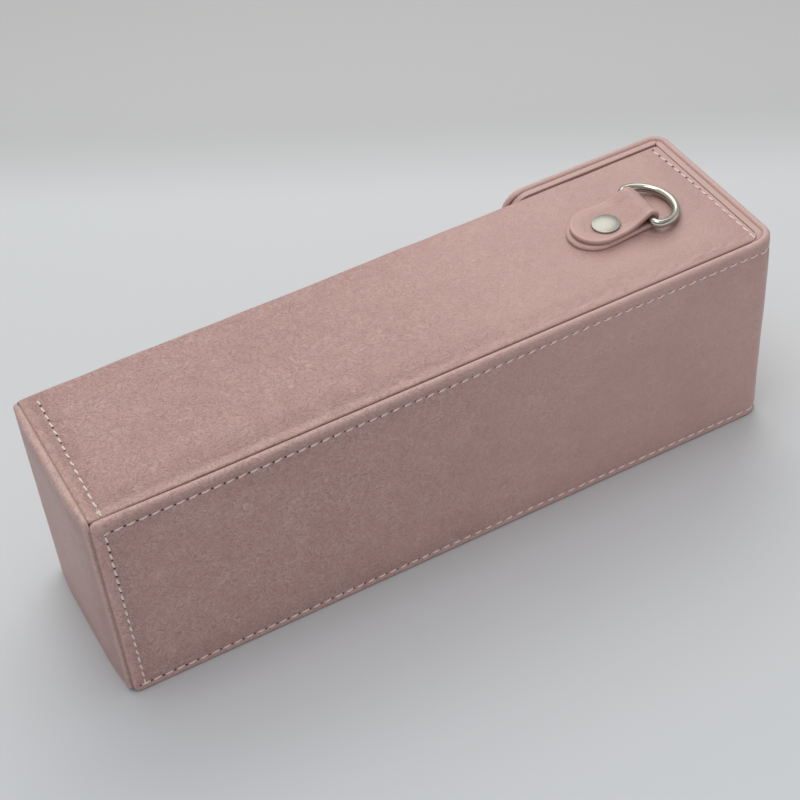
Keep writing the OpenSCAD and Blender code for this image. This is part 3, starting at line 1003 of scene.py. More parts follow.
def seam_tree():
    """Geometry nodes that sew a row of slanted stitches and needle holes along a line."""
    from_row = ("Pitch", "Stitch Length", "Thread Radius", "Hole Radius")
    inputs = [("Geometry", "Geometry", None), *((name, "Float", None) for name in from_row)]
    inputs += [(name, "Float", value) for name, value in STITCH_SHAPE.items()]
    inputs += [("Seed", "Int", None), ("Thread", "Material", None), ("Hole", "Material", None)]
    tree, start, end = node_group("GeometryNodeTree", "Stitch row", inputs, [("Geometry", "Geometry")])
    w, given = Weaver(tree), start.outputs
    line = w.node("GeometryNodeMeshToCurve", {"Mesh": given["Geometry"]}).outputs[0]
    facing = w.node("GeometryNodeInputNamedAttribute", {"Name": "facing"}, data_type="FLOAT_VECTOR")
    tangent = w.node("GeometryNodeInputTangent").outputs[0]
    least = w.math("MULTIPLY", given["Wander"], -1.0)

    def sew(curve, stamp, material, slant, seed_shift):
        """Instances the stamp at each pitch of the curve, turned to the row and the surface."""
        points = w.node("GeometryNodeResampleCurve", {"Curve": curve, "Length": given["Pitch"]}, mode="LENGTH")
        axes = {"Primary Axis": facing.outputs["Attribute"], "Secondary Axis": tangent}
        turned = w.node("FunctionNodeAxesToRotation", axes, primary_axis="Z", secondary_axis="X")
        spread = {2: least, 3: given["Wander"], "Seed": w.math("ADD", given["Seed"], seed_shift)}
        chance = w.node("FunctionNodeRandomValue", spread, data_type="FLOAT")
        angle = w.math("ADD", chance.outputs[1], slant)
        spin = w.node("FunctionNodeAxisAngleToRotation", {"Axis": (0, 0, 1), "Angle": angle})
        both = w.node("FunctionNodeRotateRotation",
                      {"Rotation": turned.outputs[0], "Rotate By": spin.outputs[0]}, rotation_space="LOCAL")
        copies = w.node("GeometryNodeInstanceOnPoints",
                        {"Points": points.outputs[0], "Instance": stamp, "Rotation": both.outputs[0]})
        real = w.node("GeometryNodeRealizeInstances", {0: copies.outputs[0]})
        painted = w.node("GeometryNodeSetMaterial", {"Geometry": real.outputs[0], "Material": material})
        return painted.outputs[0]

    half = w.math("MULTIPLY", given["Stitch Length"], 0.5)
    sunk = w.math("MULTIPLY", given["Thread Radius"], -0.9)
    ends = {
        "Start": {"X": w.math("MULTIPLY", half, -1.0), "Z": sunk},
        "Middle": {"Y": given["Bow"], "Z": given["Lift"]},
        "End": {"X": half, "Z": sunk},
    }
    places = {key: w.node("ShaderNodeCombineXYZ", at).outputs[0] for key, at in ends.items()}
    bow = w.node("GeometryNodeCurveQuadraticBezier", {"Resolution": 6, **places})
    section = w.node("GeometryNodeCurvePrimitiveCircle", {"Resolution": 7, "Radius": given["Thread Radius"]})
    sweep = {"Curve": bow.outputs[0], "Profile Curve": section.outputs[0], "Fill Caps": True}
    thread = w.node("GeometryNodeCurveToMesh", sweep)
    smooth = w.node("GeometryNodeSetShadeSmooth", {"Geometry": thread.outputs[0]})
    cone = {"Vertices": 10, "Depth": HOLE_DEPTH, "Radius Bottom": given["Hole Radius"],
            "Radius Top": w.math("MULTIPLY", given["Hole Radius"], 0.7)}
    hole = w.node("GeometryNodeMeshCone", cone, fill_type="NGON")
    low = w.node("GeometryNodeTransform",
                 {"Geometry": hole.outputs["Mesh"], "Translation": (0, 0, HOLE_SUNK)})
    long_end = w.node("GeometryNodeCurveLength", {0: line})
    span = {"Curve": line, 4: w.math("MULTIPLY", given["Pitch"], 0.5), 5: long_end.outputs[0]}
    shifted = w.node("GeometryNodeTrimCurve", span, mode="LENGTH")
    joined = w.node("GeometryNodeJoinGeometry")
    holes = sew(line, low.outputs[0], given["Hole"], 0.0, HOLE_SEED_SHIFT)
    threads = sew(shifted.outputs[0], smooth.outputs[0], given["Thread"], given["Slant"], 0)
    for made in (holes, threads):
        w.links.new(made, joined.inputs[0])
    w.links.new(joined.outputs[0], end.inputs[0])
    return tree


def sew_rows(name, lines, pitch, thread, hole, seed_shift=0):
    """One plain mesh of stitches along lines, each a list of points and their outward facings."""
    verts, edges, facing = [], [], []
    for points, outward in lines:
        first = len(verts)
        verts += row(points).tolist()
        facing += np.asarray(outward, float).tolist()
        edges += [(first + i, first + i + 1) for i in range(len(points) - 1)]
    mesh = bpy.data.meshes.new(name + "_line")
    mesh.from_pydata(verts, edges, [])
    attribute = mesh.attributes.new("facing", "FLOAT_VECTOR", "POINT")
    attribute.data.foreach_set("vector", np.array(facing, np.float32).reshape(-1))
    guide = show(name + "_line", mesh)
    seam = bpy.context.scene.seam_sizes
    tree = bpy.data.node_groups.get("Stitch row") or seam_tree()
    modifier = guide.modifiers.new("Stitches", "NODES")
    modifier.node_group = tree
    sockets = {s.name: s.identifier for s in tree.interface.items_tree if s.in_out == "INPUT"}
    settings = {
        "Pitch": pitch * MM, "Stitch Length": (pitch - seam.gap) * MM,
        "Thread Radius": seam.thread_r * MM, "Hole Radius": seam.hole_r * MM,
        "Seed": seam.seed + seed_shift, "Thread": thread, "Hole": hole,
    }
    for key, value in settings.items():
        modifier[sockets[key]] = value
    bpy.context.view_layer.update()
    graph = bpy.context.evaluated_depsgraph_get()
    made = bpy.data.meshes.new_from_object(guide.evaluated_get(graph), depsgraph=graph)
    guide.modifiers.clear()
    bpy.data.objects.remove(guide)
    made.name = name
    return show(name, made)


def span_line(a, b, step=0.6):
    """Points a small step apart from a to b."""
    a, b = np.array(a, float), np.array(b, float)
    count = max(2, int(np.linalg.norm(b - a) / step))
    return [tuple(a + (b - a) * f) for f in np.linspace(0, 1, count + 1)]


def end_line(start, end, low, high):
    """The row that goes out along the upper edge, round the flap's end and back below."""
    r = 4.5
    points = span_line((start, high), (end - r, high))
    for middle, lo, hi in ((high - r, 90, 0), (low + r, 0, -90)):
        for t in np.radians(np.linspace(lo, hi, 12)):
            points.append((end - r + r * math.cos(t), middle + r * math.sin(t)))
    points += span_line((end - r, low), (start, low))
    keep = [points[0]]
    for point in points[1:]:
        if math.dist(point, keep[-1]) > 0.05:
            keep.append(point)
    return keep


def side_lines():
    """The rows across both sides, on the wrap's face, with the way that face looks."""
    path = wrap_path()
    lo, hi = wrap_box()
    lines = []
    back = np.linspace(2.0, hi[1] - lo[1] - 2.6, 130)
    for which in (0, 1):
        for ring_side in (True, False):
            at = path.length - back if ring_side else back
            x = wrap_rows(back)[which]
            depth = wrap_face(np.stack([x, at], 1))
            section, inward = path.at(at)
            yz = section + inward * depth[:, None]
            slope = unit_rows(np.gradient(yz, axis=0))
            out = np.stack([-slope[:, 1], slope[:, 0]], 1)
            out *= np.sign((out * -inward).sum(1))[:, None]
            points = np.stack([lo[0] + x, yz[:, 0], yz[:, 1]], 1)
            outward = np.stack([np.zeros(len(back)), out[:, 0], out[:, 1]], 1)
            lines.append((points[::-1], outward[::-1]))
    return lines


STRAND_RADII = (0.24,) * 3 + (0.09,) * 8
STRAND_TAPER = np.array([0.55, 1, 1, 1, 1, 1, 0.55])
STRAND_TILT = (0.3, 0.2, 0.9)


def knot_mesh():
    """Loose thread ends knotted where the ring side's base row starts."""
    rng = np.random.default_rng(bpy.context.scene.seam_sizes.seed)
    lo, hi = wrap_box()
    x = lo[0] + wrap_rows(np.array([2.6]))[0][0]
    top = hi[2]
    middle = np.array([x, lo[1] + 2.4, top - 0.25])
    verts, faces = [], []
    along = np.linspace(0, 1, len(STRAND_TAPER))[:, None]
    for radius in STRAND_RADII:
        turn = rng.uniform(0, 2 * math.pi)
        out = np.array([math.cos(turn), 1.3 * math.sin(turn), 0])
        reach = rng.uniform(0.4, 1.1)
        p0 = middle + 0.25 * rng.normal(size=3) * [1, 1, 0.2]
        p1 = p0 + out * reach * 0.5 + [0, 0, rng.uniform(0.3, 0.6)]
        p2 = p0 + out * reach + [0, 0, rng.uniform(-0.15, 0.15)]
        centres = (1 - along) ** 2 * p0 + 2 * along * (1 - along) * p1 + along ** 2 * p2
        way = unit_rows(2 * (1 - along) * (p1 - p0) + 2 * along * (p2 - p1))
        side = unit_rows(np.cross(way, STRAND_TILT))
        points, sheets = tube(centres, side, np.cross(side, way), radius * STRAND_TAPER, 6)
        faces += [tuple(len(verts) + c for c in sheet) for sheet in sheets]
        verts += points.tolist()
    return solid_mesh("thread_knot", np.array(verts), faces)


def fit_pitch(length, pitch):
    """The pitch nearest to the wanted one that fills a length with whole stitches."""
    return length / max(1, round(length / pitch))


# ---- Finishes ----


def node_group(kind, name, inputs, outputs):
    """An empty group of one kind with named sockets, and its two end nodes."""
    tree = bpy.data.node_groups.new(name, kind)
    for label, socket_type, value in inputs:
        socket = tree.interface.new_socket(label, in_out="INPUT", socket_type="NodeSocket" + socket_type)
        if value is not None:
            socket.default_value = value
    for label, socket_type in outputs:
        tree.interface.new_socket(label, in_out="OUTPUT", socket_type="NodeSocket" + socket_type)
    return tree, tree.nodes.new("NodeGroupInput"), tree.nodes.new("NodeGroupOutput")


class Weaver:
    """Adds nodes to a tree and joins them."""

    def __init__(self, tree):
        self.nodes = tree.nodes
        self.links = tree.links

    def node(self, kind, inputs=None, **settings):
        made = self.nodes.new(kind)
        for key, value in settings.items():
            setattr(made, key, value)
        for key, source in (inputs or {}).items():
            socket = made.inputs[key]
            if isinstance(source, bpy.types.NodeSocket):
                self.links.new(source, socket)
            else:
                socket.default_value = source
        return made

    def math(self, operation, a, b=0.0, clamp=False):
        inputs = {0: a, 1: b}
        return self.node("ShaderNodeMath", inputs, operation=operation, use_clamp=clamp).outputs[0]

    def remap(self, value, lo, hi, to_lo=0.0, to_hi=1.0):
        inputs = {"Value": value, "From Min": lo, "From Max": hi, "To Min": to_lo, "To Max": to_hi}
        return self.node("ShaderNodeMapRange", inputs, interpolation_type="SMOOTHSTEP").outputs[0]

    def mix(self, factor, a, b, blend="MIX"):
        made = self.node("ShaderNodeMix", data_type="RGBA", blend_type=blend)
        for index, source in ((0, factor), (6, a), (7, b)):
            if isinstance(source, bpy.types.NodeSocket):
                self.links.new(source, made.inputs[index])
            elif index == 0:
                made.inputs[index].default_value = source
            else:
                made.inputs[index].default_value = (*source[:3], 1)
        return made.outputs[2]


GRAIN_WARPS = ((0.16, 7.0), (0.9, 1.1))
GRAIN_WEB = ((0.34, 0.085), (0.62, 0.12))
GRAIN_HAIRS = ((0.17, 31.0), (0.27, 77.0))
HAIR_WIDTH = 0.013
GRAIN_PATCHES = ((0.055, 0.40, 0.62), (0.11, 0.44, 0.64), (0.08, 0.42, 0.62), (0.15, 0.44, 0.62))


def grain_group():
    """Leather grain: soft pebble, a web of fine crazing and slow mottle, in millimetres."""
    tree, start, end = node_group(
        "ShaderNodeTree", "Leather grain",
        [("Vector", "Vector", None), ("Pebble", "Float", 1.0),
         ("Crazing", "Float", 1.0), ("Edge", "Float", 0.0)],
        [(name, "Float") for name in ("Height", "Veins", "Mottle", "Blotch", "Fine")],
    )
    w = Weaver(tree)
    vector = start.outputs["Vector"]
    moved = vector
    for scale, by in GRAIN_WARPS:
        warp = w.node("ShaderNodeTexNoise", {"Vector": vector, "Scale": scale, "Detail": 2.0})
        bent = w.node("ShaderNodeVectorMath", {0: warp.outputs["Color"], 1: (by, by, by)}, operation="MULTIPLY")
        moved = w.node("ShaderNodeVectorMath", {0: moved, 1: bent.outputs[0]}, operation="ADD").outputs[0]
    web = []
    for scale, wide in GRAIN_WEB:
        cell = w.node("ShaderNodeTexVoronoi", {"Vector": moved, "Scale": scale}, feature="DISTANCE_TO_EDGE")
        web.append(w.remap(cell.outputs["Distance"], 0.0, wide, 1.0, 0.0))
    for scale, shift in GRAIN_HAIRS:
        there = w.node("ShaderNodeVectorMath", {0: moved, 1: (shift, -shift, shift)}, operation="ADD")
        hair = w.node("ShaderNodeTexNoise", {"Vector": there.outputs[0], "Scale": scale, "Detail": 1.5})
        off = w.math("ABSOLUTE", w.math("SUBTRACT", hair.outputs[0], 0.5))
        web.append(w.remap(off, 0.0, HAIR_WIDTH, 1.0, 0.0))
    shown = []
    for scale, lo, hi in GRAIN_PATCHES:
        there = w.node("ShaderNodeVectorMath", {0: vector, 1: (200 * scale, 900 * scale, 0)}, operation="ADD")
        patch = w.node("ShaderNodeTexNoise", {"Vector": there.outputs[0], "Scale": scale, "Detail": 2.0})
        shown.append(w.remap(patch.outputs[0], lo, hi))
    veins = 0.0
    for line, patch in zip(web, shown):
        veins = w.math("MAXIMUM", w.math("MULTIPLY", line, patch), veins)
    veins = w.math("MULTIPLY", veins, start.outputs["Crazing"])
    pebble = w.node("ShaderNodeTexVoronoi", {"Vector": moved, "Scale": 1.05, "Smoothness": 0.45},
                    feature="SMOOTH_F1")
    tiny = w.node("ShaderNodeTexNoise", {"Vector": vector, "Scale": 2.0, "Detail": 3.0})
    weight = w.math("MULTIPLY", start.outputs["Pebble"], start.outputs["Edge"])
    bumps = w.math("MULTIPLY", w.math("SUBTRACT", 1.0, pebble.outputs["Distance"]), weight)
    height = w.math("ADD", bumps, w.math("MULTIPLY", w.math("MULTIPLY", tiny.outputs[0], 1.1), weight))
    height = w.math("ADD", height, w.math("MULTIPLY", veins, 0.3))
    grit = w.math("ADD", w.math("MULTIPLY", tiny.outputs[0], 0.6),
                  w.math("MULTIPLY", w.math("SUBTRACT", 1.0, pebble.outputs["Distance"]), 0.4))
    mottle = w.node("ShaderNodeTexNoise", {"Vector": vector, "Scale": 0.035, "Detail": 3.0, "Roughness": 0.5})
    blotch = w.node("ShaderNodeTexNoise", {"Vector": moved, "Scale": 0.22, "Detail": 4.0, "Roughness": 0.6})
    for source, name in ((height, "Height"), (veins, "Veins"), (mottle.outputs[0], "Mottle"),
                         (blotch.outputs[0], "Blotch"), (grit, "Fine")):
        w.links.new(source, end.inputs[name])
    return tree


def dust_group():
    """Fine lint and scuffs for hard and soft finishes, over coordinates in metres."""
    tree, start, end = node_group(
        "ShaderNodeTree", "Scuffs", [("Vector", "Vector", None), ("Scale", "Float", 900.0)],
        [("Scuff", "Float"), ("Cloud", "Float")],
    )
    w = Weaver(tree)
    fine = w.node("ShaderNodeTexNoise", {"Vector": start.outputs["Vector"], "Scale": start.outputs["Scale"],
                                         "Detail": 4.0, "Roughness": 0.65})
    cloud = w.node("ShaderNodeTexNoise", {"Vector": start.outputs["Vector"], "Scale": 60.0, "Detail": 3.0})
    w.links.new(w.remap(fine.outputs[0], 0.52, 0.72), end.inputs["Scuff"])
    w.links.new(cloud.outputs[0], end.inputs["Cloud"])
    return tree


def new_material(name):
    """A material with a Principled shader, its weaver and the shader node."""
    material = bpy.data.materials.new(name)
    material.use_nodes = True
    tree = material.node_tree
    shader = tree.nodes["Principled BSDF"]
    return material, Weaver(tree), shader


def group_node(weaver, name, **inputs):
    """Places a shared group in a material."""
    made = weaver.nodes.new("ShaderNodeGroup")
    made.node_tree = bpy.data.node_groups[name]
    for key, source in inputs.items():
        socket = made.inputs[key.replace("_", " ")]
        if isinstance(source, bpy.types.NodeSocket):
            weaver.links.new(source, socket)
        else:
            socket.default_value = source
    return made


WORN_SPAN = (-0.06, 0.08, 1.0, 0.36)
EDGE_GRAIN = ((1.8, 4.5, 0.45, 2.3), (5.0, 13.0, 0.0, 0.9))
MOTTLE = (0.35, 0.68, 0.0, 0.10)
BLOTCH = (0.36, 0.62, 0.06, 0.0)
# Painted highlight: the rounded edges are drawn towards the pale colour, standing in for their sheen.
EDGE_HIGHLIGHT = (0.0, 1.4, 0.4, 0.0)
GRIT = (0.36, 0.56, 0.42, 0.0)
VEIN_SHARE = 0.50
# How much painted shade the crease attribute brings, and how dark that shade is.
PAINTED_SHADE_SHARE = 0.8
PAINTED_SHADE_DARKER = 0.42


def leather_material(name, colours, crazing=1.0, pebble=1.0, rough=0.36, bump=0.85, shade=1.0):
    """Coated leather: mottled colour, pale crazing, painted shade in its folds, a painted edge highlight, soft
    sheen.
    """
    # shade scales all three colours: above one it paints light into this copy of the leather, below one it
    # paints shade.
    base, deep, pale = (darker(colour, shade) for colour in colours)
    material, w, shader = new_material(name)
    uv = w.node("ShaderNodeUVMap", uv_map="leather_mm")
    scaled = w.node("ShaderNodeVectorMath", {0: uv.outputs[0], 1: (100, 100, 100)}, operation="MULTIPLY")
    edge_at = w.node("ShaderNodeAttribute", attribute_name="edge")
    rising = w.remap(edge_at.outputs["Fac"], *EDGE_GRAIN[0])
    near = w.math("SUBTRACT", rising, w.remap(edge_at.outputs["Fac"], *EDGE_GRAIN[1]))
    where = w.node("ShaderNodeTexCoord").outputs["Object"]
    along = w.node("ShaderNodeSeparateXYZ", {0: where}).outputs["X"]
    worn = w.remap(along, *WORN_SPAN)
    grain = group_node(w, "Leather grain", Vector=scaled.outputs[0], Pebble=w.math("MULTIPLY", worn, pebble),
                       Crazing=w.math("MULTIPLY", worn, crazing), Edge=near)
    colour = w.mix(w.remap(grain.outputs["Mottle"], *MOTTLE), base, pale)
    colour = w.mix(w.remap(grain.outputs["Blotch"], *BLOTCH), colour, deep)
    colour = w.mix(w.math("MULTIPLY", grain.outputs["Veins"], VEIN_SHARE), colour, pale)
    # Painted highlight along the edges.
    colour = w.mix(w.remap(edge_at.outputs["Fac"], *EDGE_HIGHLIGHT), colour, pale)
    grit = w.math("MULTIPLY", w.remap(grain.outputs["Fine"], *GRIT), worn)
    colour = w.mix(grit, colour, deep)
    # Painted shade: colour drawn towards a darker deep tone where the crease attribute marks folds, gaps and
    # edges.
    fold = w.node("ShaderNodeAttribute", attribute_name="crease").outputs["Fac"]
    colour = w.mix(w.math("MULTIPLY", fold, PAINTED_SHADE_SHARE, clamp=True), colour, darker(deep, PAINTED_SHADE_DARKER))
    w.links.new(colour, shader.inputs["Base Color"])
    roughness = w.remap(grain.outputs["Fine"], 0.35, 0.65, rough - 0.07, rough + 0.09)
    w.links.new(roughness, shader.inputs["Roughness"])
    shader.inputs["IOR"].default_value = 1.5
    bumped = w.node("ShaderNodeBump", {"Height": grain.outputs["Height"], "Strength": bump, "Distance": 0.0003})
    w.links.new(bumped.outputs[0], shader.inputs["Normal"])
    return material


def scuffed_material(name, scale, tone, tints, rough, relief=None, **settings):
    """One colour drawn to others by clouds and scuffs; the scuffs also shape its relief or sheen.

    tints lists what drives each step, how much of it, and the colour it leads to. rough is one
    value, or the pair that the scuffs vary it between. relief is a bump's strength and distance.
    """
    material, w, shader = new_material(name)
    where = w.node("ShaderNodeTexCoord").outputs["Object"]
    scuffs = group_node(w, "Scuffs", Vector=where, Scale=scale)
    for source, amount, toward in tints:
        tone = w.mix(w.math("MULTIPLY", scuffs.outputs[source], amount), tone, toward)
    w.links.new(tone, shader.inputs["Base Color"])
    if isinstance(rough, tuple):
        w.links.new(w.remap(scuffs.outputs["Scuff"], 0.0, 1.0, *rough), shader.inputs["Roughness"])
    else:
        shader.inputs["Roughness"].default_value = rough
    if relief:
        height = {"Height": scuffs.outputs["Scuff"], "Strength": relief[0], "Distance": relief[1]}
        w.links.new(w.node("ShaderNodeBump", height).outputs[0], shader.inputs["Normal"])
    for key, value in settings.items():
        shader.inputs[key].default_value = value
    return material


def darker(colour, by):
    """A colour with each channel multiplied."""
    return tuple(c * by for c in colour)


def nickel(colour, rough):
    """Settings of plated metal with faint handling marks, for scuffed_material."""
    return 1400.0, tuple(colour), [("Cloud", 1.0, darker(colour, 0.86))], (rough, rough + 0.08)


def finish(name):
    """A finish by name, made when it is first asked for."""
    found = bpy.data.materials.get(name)
    if found:
        return found
    for group, make in (("Leather grain", grain_group), ("Scuffs", dust_group)):
        if group not in bpy.data.node_groups:
            make()
    colours = bpy.context.scene.case_finish
    # The tab's copy is painted lighter and the inner leather's copy a touch darker: painted light and painted
    # shade on the same leather.
    leathers = {
        "Outer leather": {},
        "Inner leather": {"crazing": 0.2, "pebble": 0.5, "rough": 0.5, "shade": 0.97},
        "Tab leather": {"crazing": 0.3, "pebble": 0.9, "rough": 0.40, "shade": 1.04},
    }
    if name in leathers:
        tones = tuple(colours.leather), tuple(colours.leather_deep), tuple(colours.leather_pale)
        return leather_material(name, tones, **leathers[name])
    metals = {
        "Polished nickel": (tuple(colours.metal), 0.13),
        "Satin nickel": (darker(colours.metal, 0.72), 0.34),
        "Bare steel": ((0.45, 0.45, 0.45), 0.35),
    }
    if name in metals:
        return scuffed_material(name, *nickel(*metals[name]), Metallic=1.0)
    lining, thread, deep = tuple(colours.lining), tuple(colours.thread), tuple(colours.leather_deep)
    board_tints = [("Cloud", 1.0, (0.40, 0.33, 0.25)), ("Scuff", 0.3, (0.2, 0.16, 0.12))]
    plain = {
        "Soft lining": (2600.0, lining, [("Cloud", 0.7, darker(lining, 0.72))], 0.9, (0.3, 0.0002)),
        "Waxed thread": (3200.0, thread, [("Scuff", 0.5, darker(thread, 0.7))], 0.55, (0.25, 0.0001)),
        # Painted shade: a dark disc stands for the shade inside each needle hole.
        "Needle hole shade": (1800.0, darker(deep, 0.30), [("Cloud", 1.0, darker(deep, 0.14))], 0.8),
        "Pressed board": (1200.0, (0.30, 0.24, 0.18), board_tints, 0.85, (0.2, 0.0001)),
    }
    more = {"Sheen Weight": 0.35} if name == "Soft lining" else {}
    return scuffed_material(name, *plain[name], **more)


# ---- Operators ----


def riding_piece(mesh, material, body, node):
    """Shows a mesh that rides on one body and stands for one node of the frame."""
    piece = show(mesh.name, mesh, finish(material))
    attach(piece, body)
    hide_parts(node)
    return piece


def join_lid(first, second):
    """Bakes each piece's transform into its mesh; the starts of the lid's and the flap's bends are worked out
    but not used.
    """
    r = bpy.context.scene.case_sizes.bend_r
    middle = CASE_H / 2
    lid_start = row([(CASE_L - r, 0, middle), (CASE_L, r, middle)])
    flap_start = row([(CASE_L, CASE_D - r, middle), (CASE_L - r, CASE_D, middle)])
    tuple(lid_start[0])
    tuple(lid_start[1])
    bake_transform(first)
    tuple(flap_start[0])
    tuple(flap_start[1])
    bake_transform(second)


def bent_pieces(names, meshes, nodes, material):
    """Shows the two halves of a strap, bakes their transforms and hides the nodes of the frame that each stands
    for.
    """
    pieces = [show(name, mesh, finish(material)) for name, mesh in zip(names, meshes)]
    join_lid(*pieces)
    for piece, replaced in zip(pieces, nodes):
        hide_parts(*replaced)
    return pieces


class CASE_OT_strap(bpy.types.Operator):
    """Makes the strap's outer leather: back wall, lid and flap"""

    bl_idname = "case.strap"
    bl_label = "Strap leather"

    def execute(self, context):
        bent_pieces(("strap_back_lid", "strap_lid_flap"), strap_meshes(),
                    (("back_cover", "lid_cover"), ("flap_cover",)), "Outer leather")
        return {"FINISHED"}


class CASE_OT_inner_leather(bpy.types.Operator):
    """Makes the padded inner leather of the lid and the flap"""

    bl_idname = "case.inner_leather"
    bl_label = "Inner leather"

    def execute(self, context):
        for piece in bent_pieces(("inner_back_lid", "inner_lid_flap"), lining_meshes(),
                                 (("lid_pad",), ("flap_pad",)), "Inner leather"):
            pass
        return {"FINISHED"}


class CASE_OT_body(bpy.types.Operator):
    """Makes the body's wrap of leather and the leather of the base end"""

    bl_idname = "case.body"
    bl_label = "Body leather"

    def execute(self, context):
        for mesh, node in ((wrap_mesh(), "body_cover"), (base_mesh(), "base_cover")):
            riding_piece(mesh, "Outer leather", "case", node)
        return {"FINISHED"}


class CASE_OT_lining(bpy.types.Operator):
    """Makes the soft lining panels inside the body"""

    bl_idname = "case.lining"
    bl_label = "Soft lining"

    def execute(self, context):
        panels = [
            ("lining_back", "back_lining", "+y"), ("lining_front", "front_lining", "-y"),
            ("lining_ring_side", "ring_side_lining", "-z"), ("lining_plain_side", "plain_side_lining", "+z"),
            ("lining_base_pad", "base_pad", "+x"),
        ]
        for name, node, face in panels:
            piece = riding_piece(lining_panel(name, node, face), "Soft lining", "case", node)
        return {"FINISHED"}


class CASE_OT_ring_tab(bpy.types.Operator):
    """Makes the folded ring tab, the rivet's cap and the D-ring"""

    bl_idname = "case.ring_tab"
    bl_label = "Ring tab"

    def execute(self, context):
        riding_piece(tab_mesh(), "Tab leather", "case", "ring_tab")
        riding_piece(cap_mesh(), "Satin nickel", "case", "rivet_cap")
        riding_piece(ring_mesh(), "Polished nickel", "ring", "d_ring")
        return {"FINISHED"}


class CASE_OT_stitches(bpy.types.Operator):
    """Sews the rows of stitches on the strap and on the body's sides"""

    bl_idname = "case.stitches"
    bl_label = "Stitches"

    def execute(self, context):
        thread, hole = finish("Waxed thread"), finish("Needle hole shade")
        seam = context.scene.seam_sizes
        path = strap_path()

        def strap_line(points):
            points = np.array(points, float)
            plan, inward = path.at(points[:, 0])
            xy = plan + inward * strap_face(points)[:, None]
            outward = np.concatenate([-inward, np.zeros((len(points), 1))], 1)
            return np.concatenate([xy, points[:, 1:2]], 1), outward

        top, bottom = CASE_H - seam.top_in, seam.bottom_in
        start, second_bend, arc = bend_starts()
        middle = (start + arc + second_bend) / 2
        pitch = fit_pitch(middle - seam.bottom_in, seam.long_pitch)
        first = sew_rows("stitches_back_lid", [
            strap_line(span_line((seam.bottom_in - 0.4, top), (middle, top))),
            strap_line(span_line((seam.bottom_in - 0.4, bottom), (middle, bottom))),
        ], pitch, thread, hole)
        column = sew_rows("stitches_back_end", [
            strap_line(span_line((seam.end_in, top - 0.6), (seam.end_in, bottom + 0.6))),
        ], fit_pitch(top - bottom - 1.2, seam.short_pitch), thread, hole, 1)
        around = end_line(middle + pitch, path.length - seam.end_in, bottom, top)
        second = sew_rows("stitches_lid_flap", [strap_line(around)], pitch, thread, hole, 2)
        join_lid(first, second)
        sides = sew_rows("stitches_sides", side_lines(), seam.short_pitch, thread, hole, 3)
        knot = show("thread_knot", knot_mesh(), thread)
        for piece in (column, sides, knot):
            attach(piece, "case")
        return {"FINISHED"}


BOARD_LOW = 2.6
LID_BOARD_SHORT = ((0, 2.4, 0), (0, 2.4, 0))
FLAP_BOARD_SHORT = ((0, 0, 0), (2.6, 0, 0))


class CASE_OT_hidden_parts(bpy.types.Operator):
    """Makes the boards and finishes the magnets, keepers and the rivet's post"""

    bl_idname = "case.hidden_parts"
    bl_label = "Boards and magnets"

    def execute(self, context):
        sizes = context.scene.case_sizes
        lid_out, flap_out = (sizes.lid_proud, 0, 0), (0, sizes.front_proud, 0)
        rounded = sizes.flap_corner_r - 0.6
        boards = [
            ("back_board", "+y", "case", {"top": CASE_H - BOARD_LOW}), ("front_board", "-y", "case", {}),
            ("ring_side_board", "-z", "case", {}), ("plain_side_board", "+z", "case", {}),
            ("base_board", "+x", "case", {}),
            ("lid_board", "-x", "lid", {"shift": lid_out, "trim": LID_BOARD_SHORT}),
            ("flap_board", "-y", "flap", {"shift": flap_out, "corner": rounded, "trim": FLAP_BOARD_SHORT}),
        ]
        for name, face, body, more in boards:
            board = lining_panel("pressed_" + name, name, face, 0.0, 0.15, **more)
            riding_piece(board, "Pressed board", body, name)
        finishes = {"flap_magnets": "Bare steel", "keeper_plates": "Bare steel", "rivet_post": "Satin nickel"}
        for name, material in finishes.items():
            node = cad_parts[name]
            node.data.materials.clear()
            node.data.materials.append(finish(material))
        return {"FINISHED"}


CAMERA_TURNS = (-23.3695, 43.1329, 6.6624)
CAMERA_AT = (-74.832, -418.733, 505.246)
CAMERA_LENS = 89.137
FLOOR_HALF = 3.0
FLOOR_AWAY = (0.512, 0.859)
# Painted light and shade on the floor: paler and bluer towards the camera, darker bands further back.
FLOOR_LIGHT_AND_SHADE = [
    (-0.16, 0.05, 1.0, 0.0, (0.630, 0.655, 0.680)),
    (0.16, 0.225, 0.0, 1.0, (0.49, 0.495, 0.50)),
    (0.22, 0.40, 0.0, 1.0, (0.44, 0.44, 0.44)),
]
LAMPS = [
    ("window", (0.35, 0.75, 0.95), 1.1, 5.2, (1.0, 0.985, 0.96)),
    ("overhead", (-0.1, 0.0, 1.3), 0.6, 3.2, (1.0, 1.0, 1.0)),
]
LAMP_AIM = (0, 0, 0.04)
SKY_AHEAD = ((1.22, 1.22, 1.24), (0.32, 0.32, 0.33), (0.80, 0.80, 0.80))
SKY_BEHIND = ((0.50, 0.51, 0.53), (0.66, 0.66, 0.65))


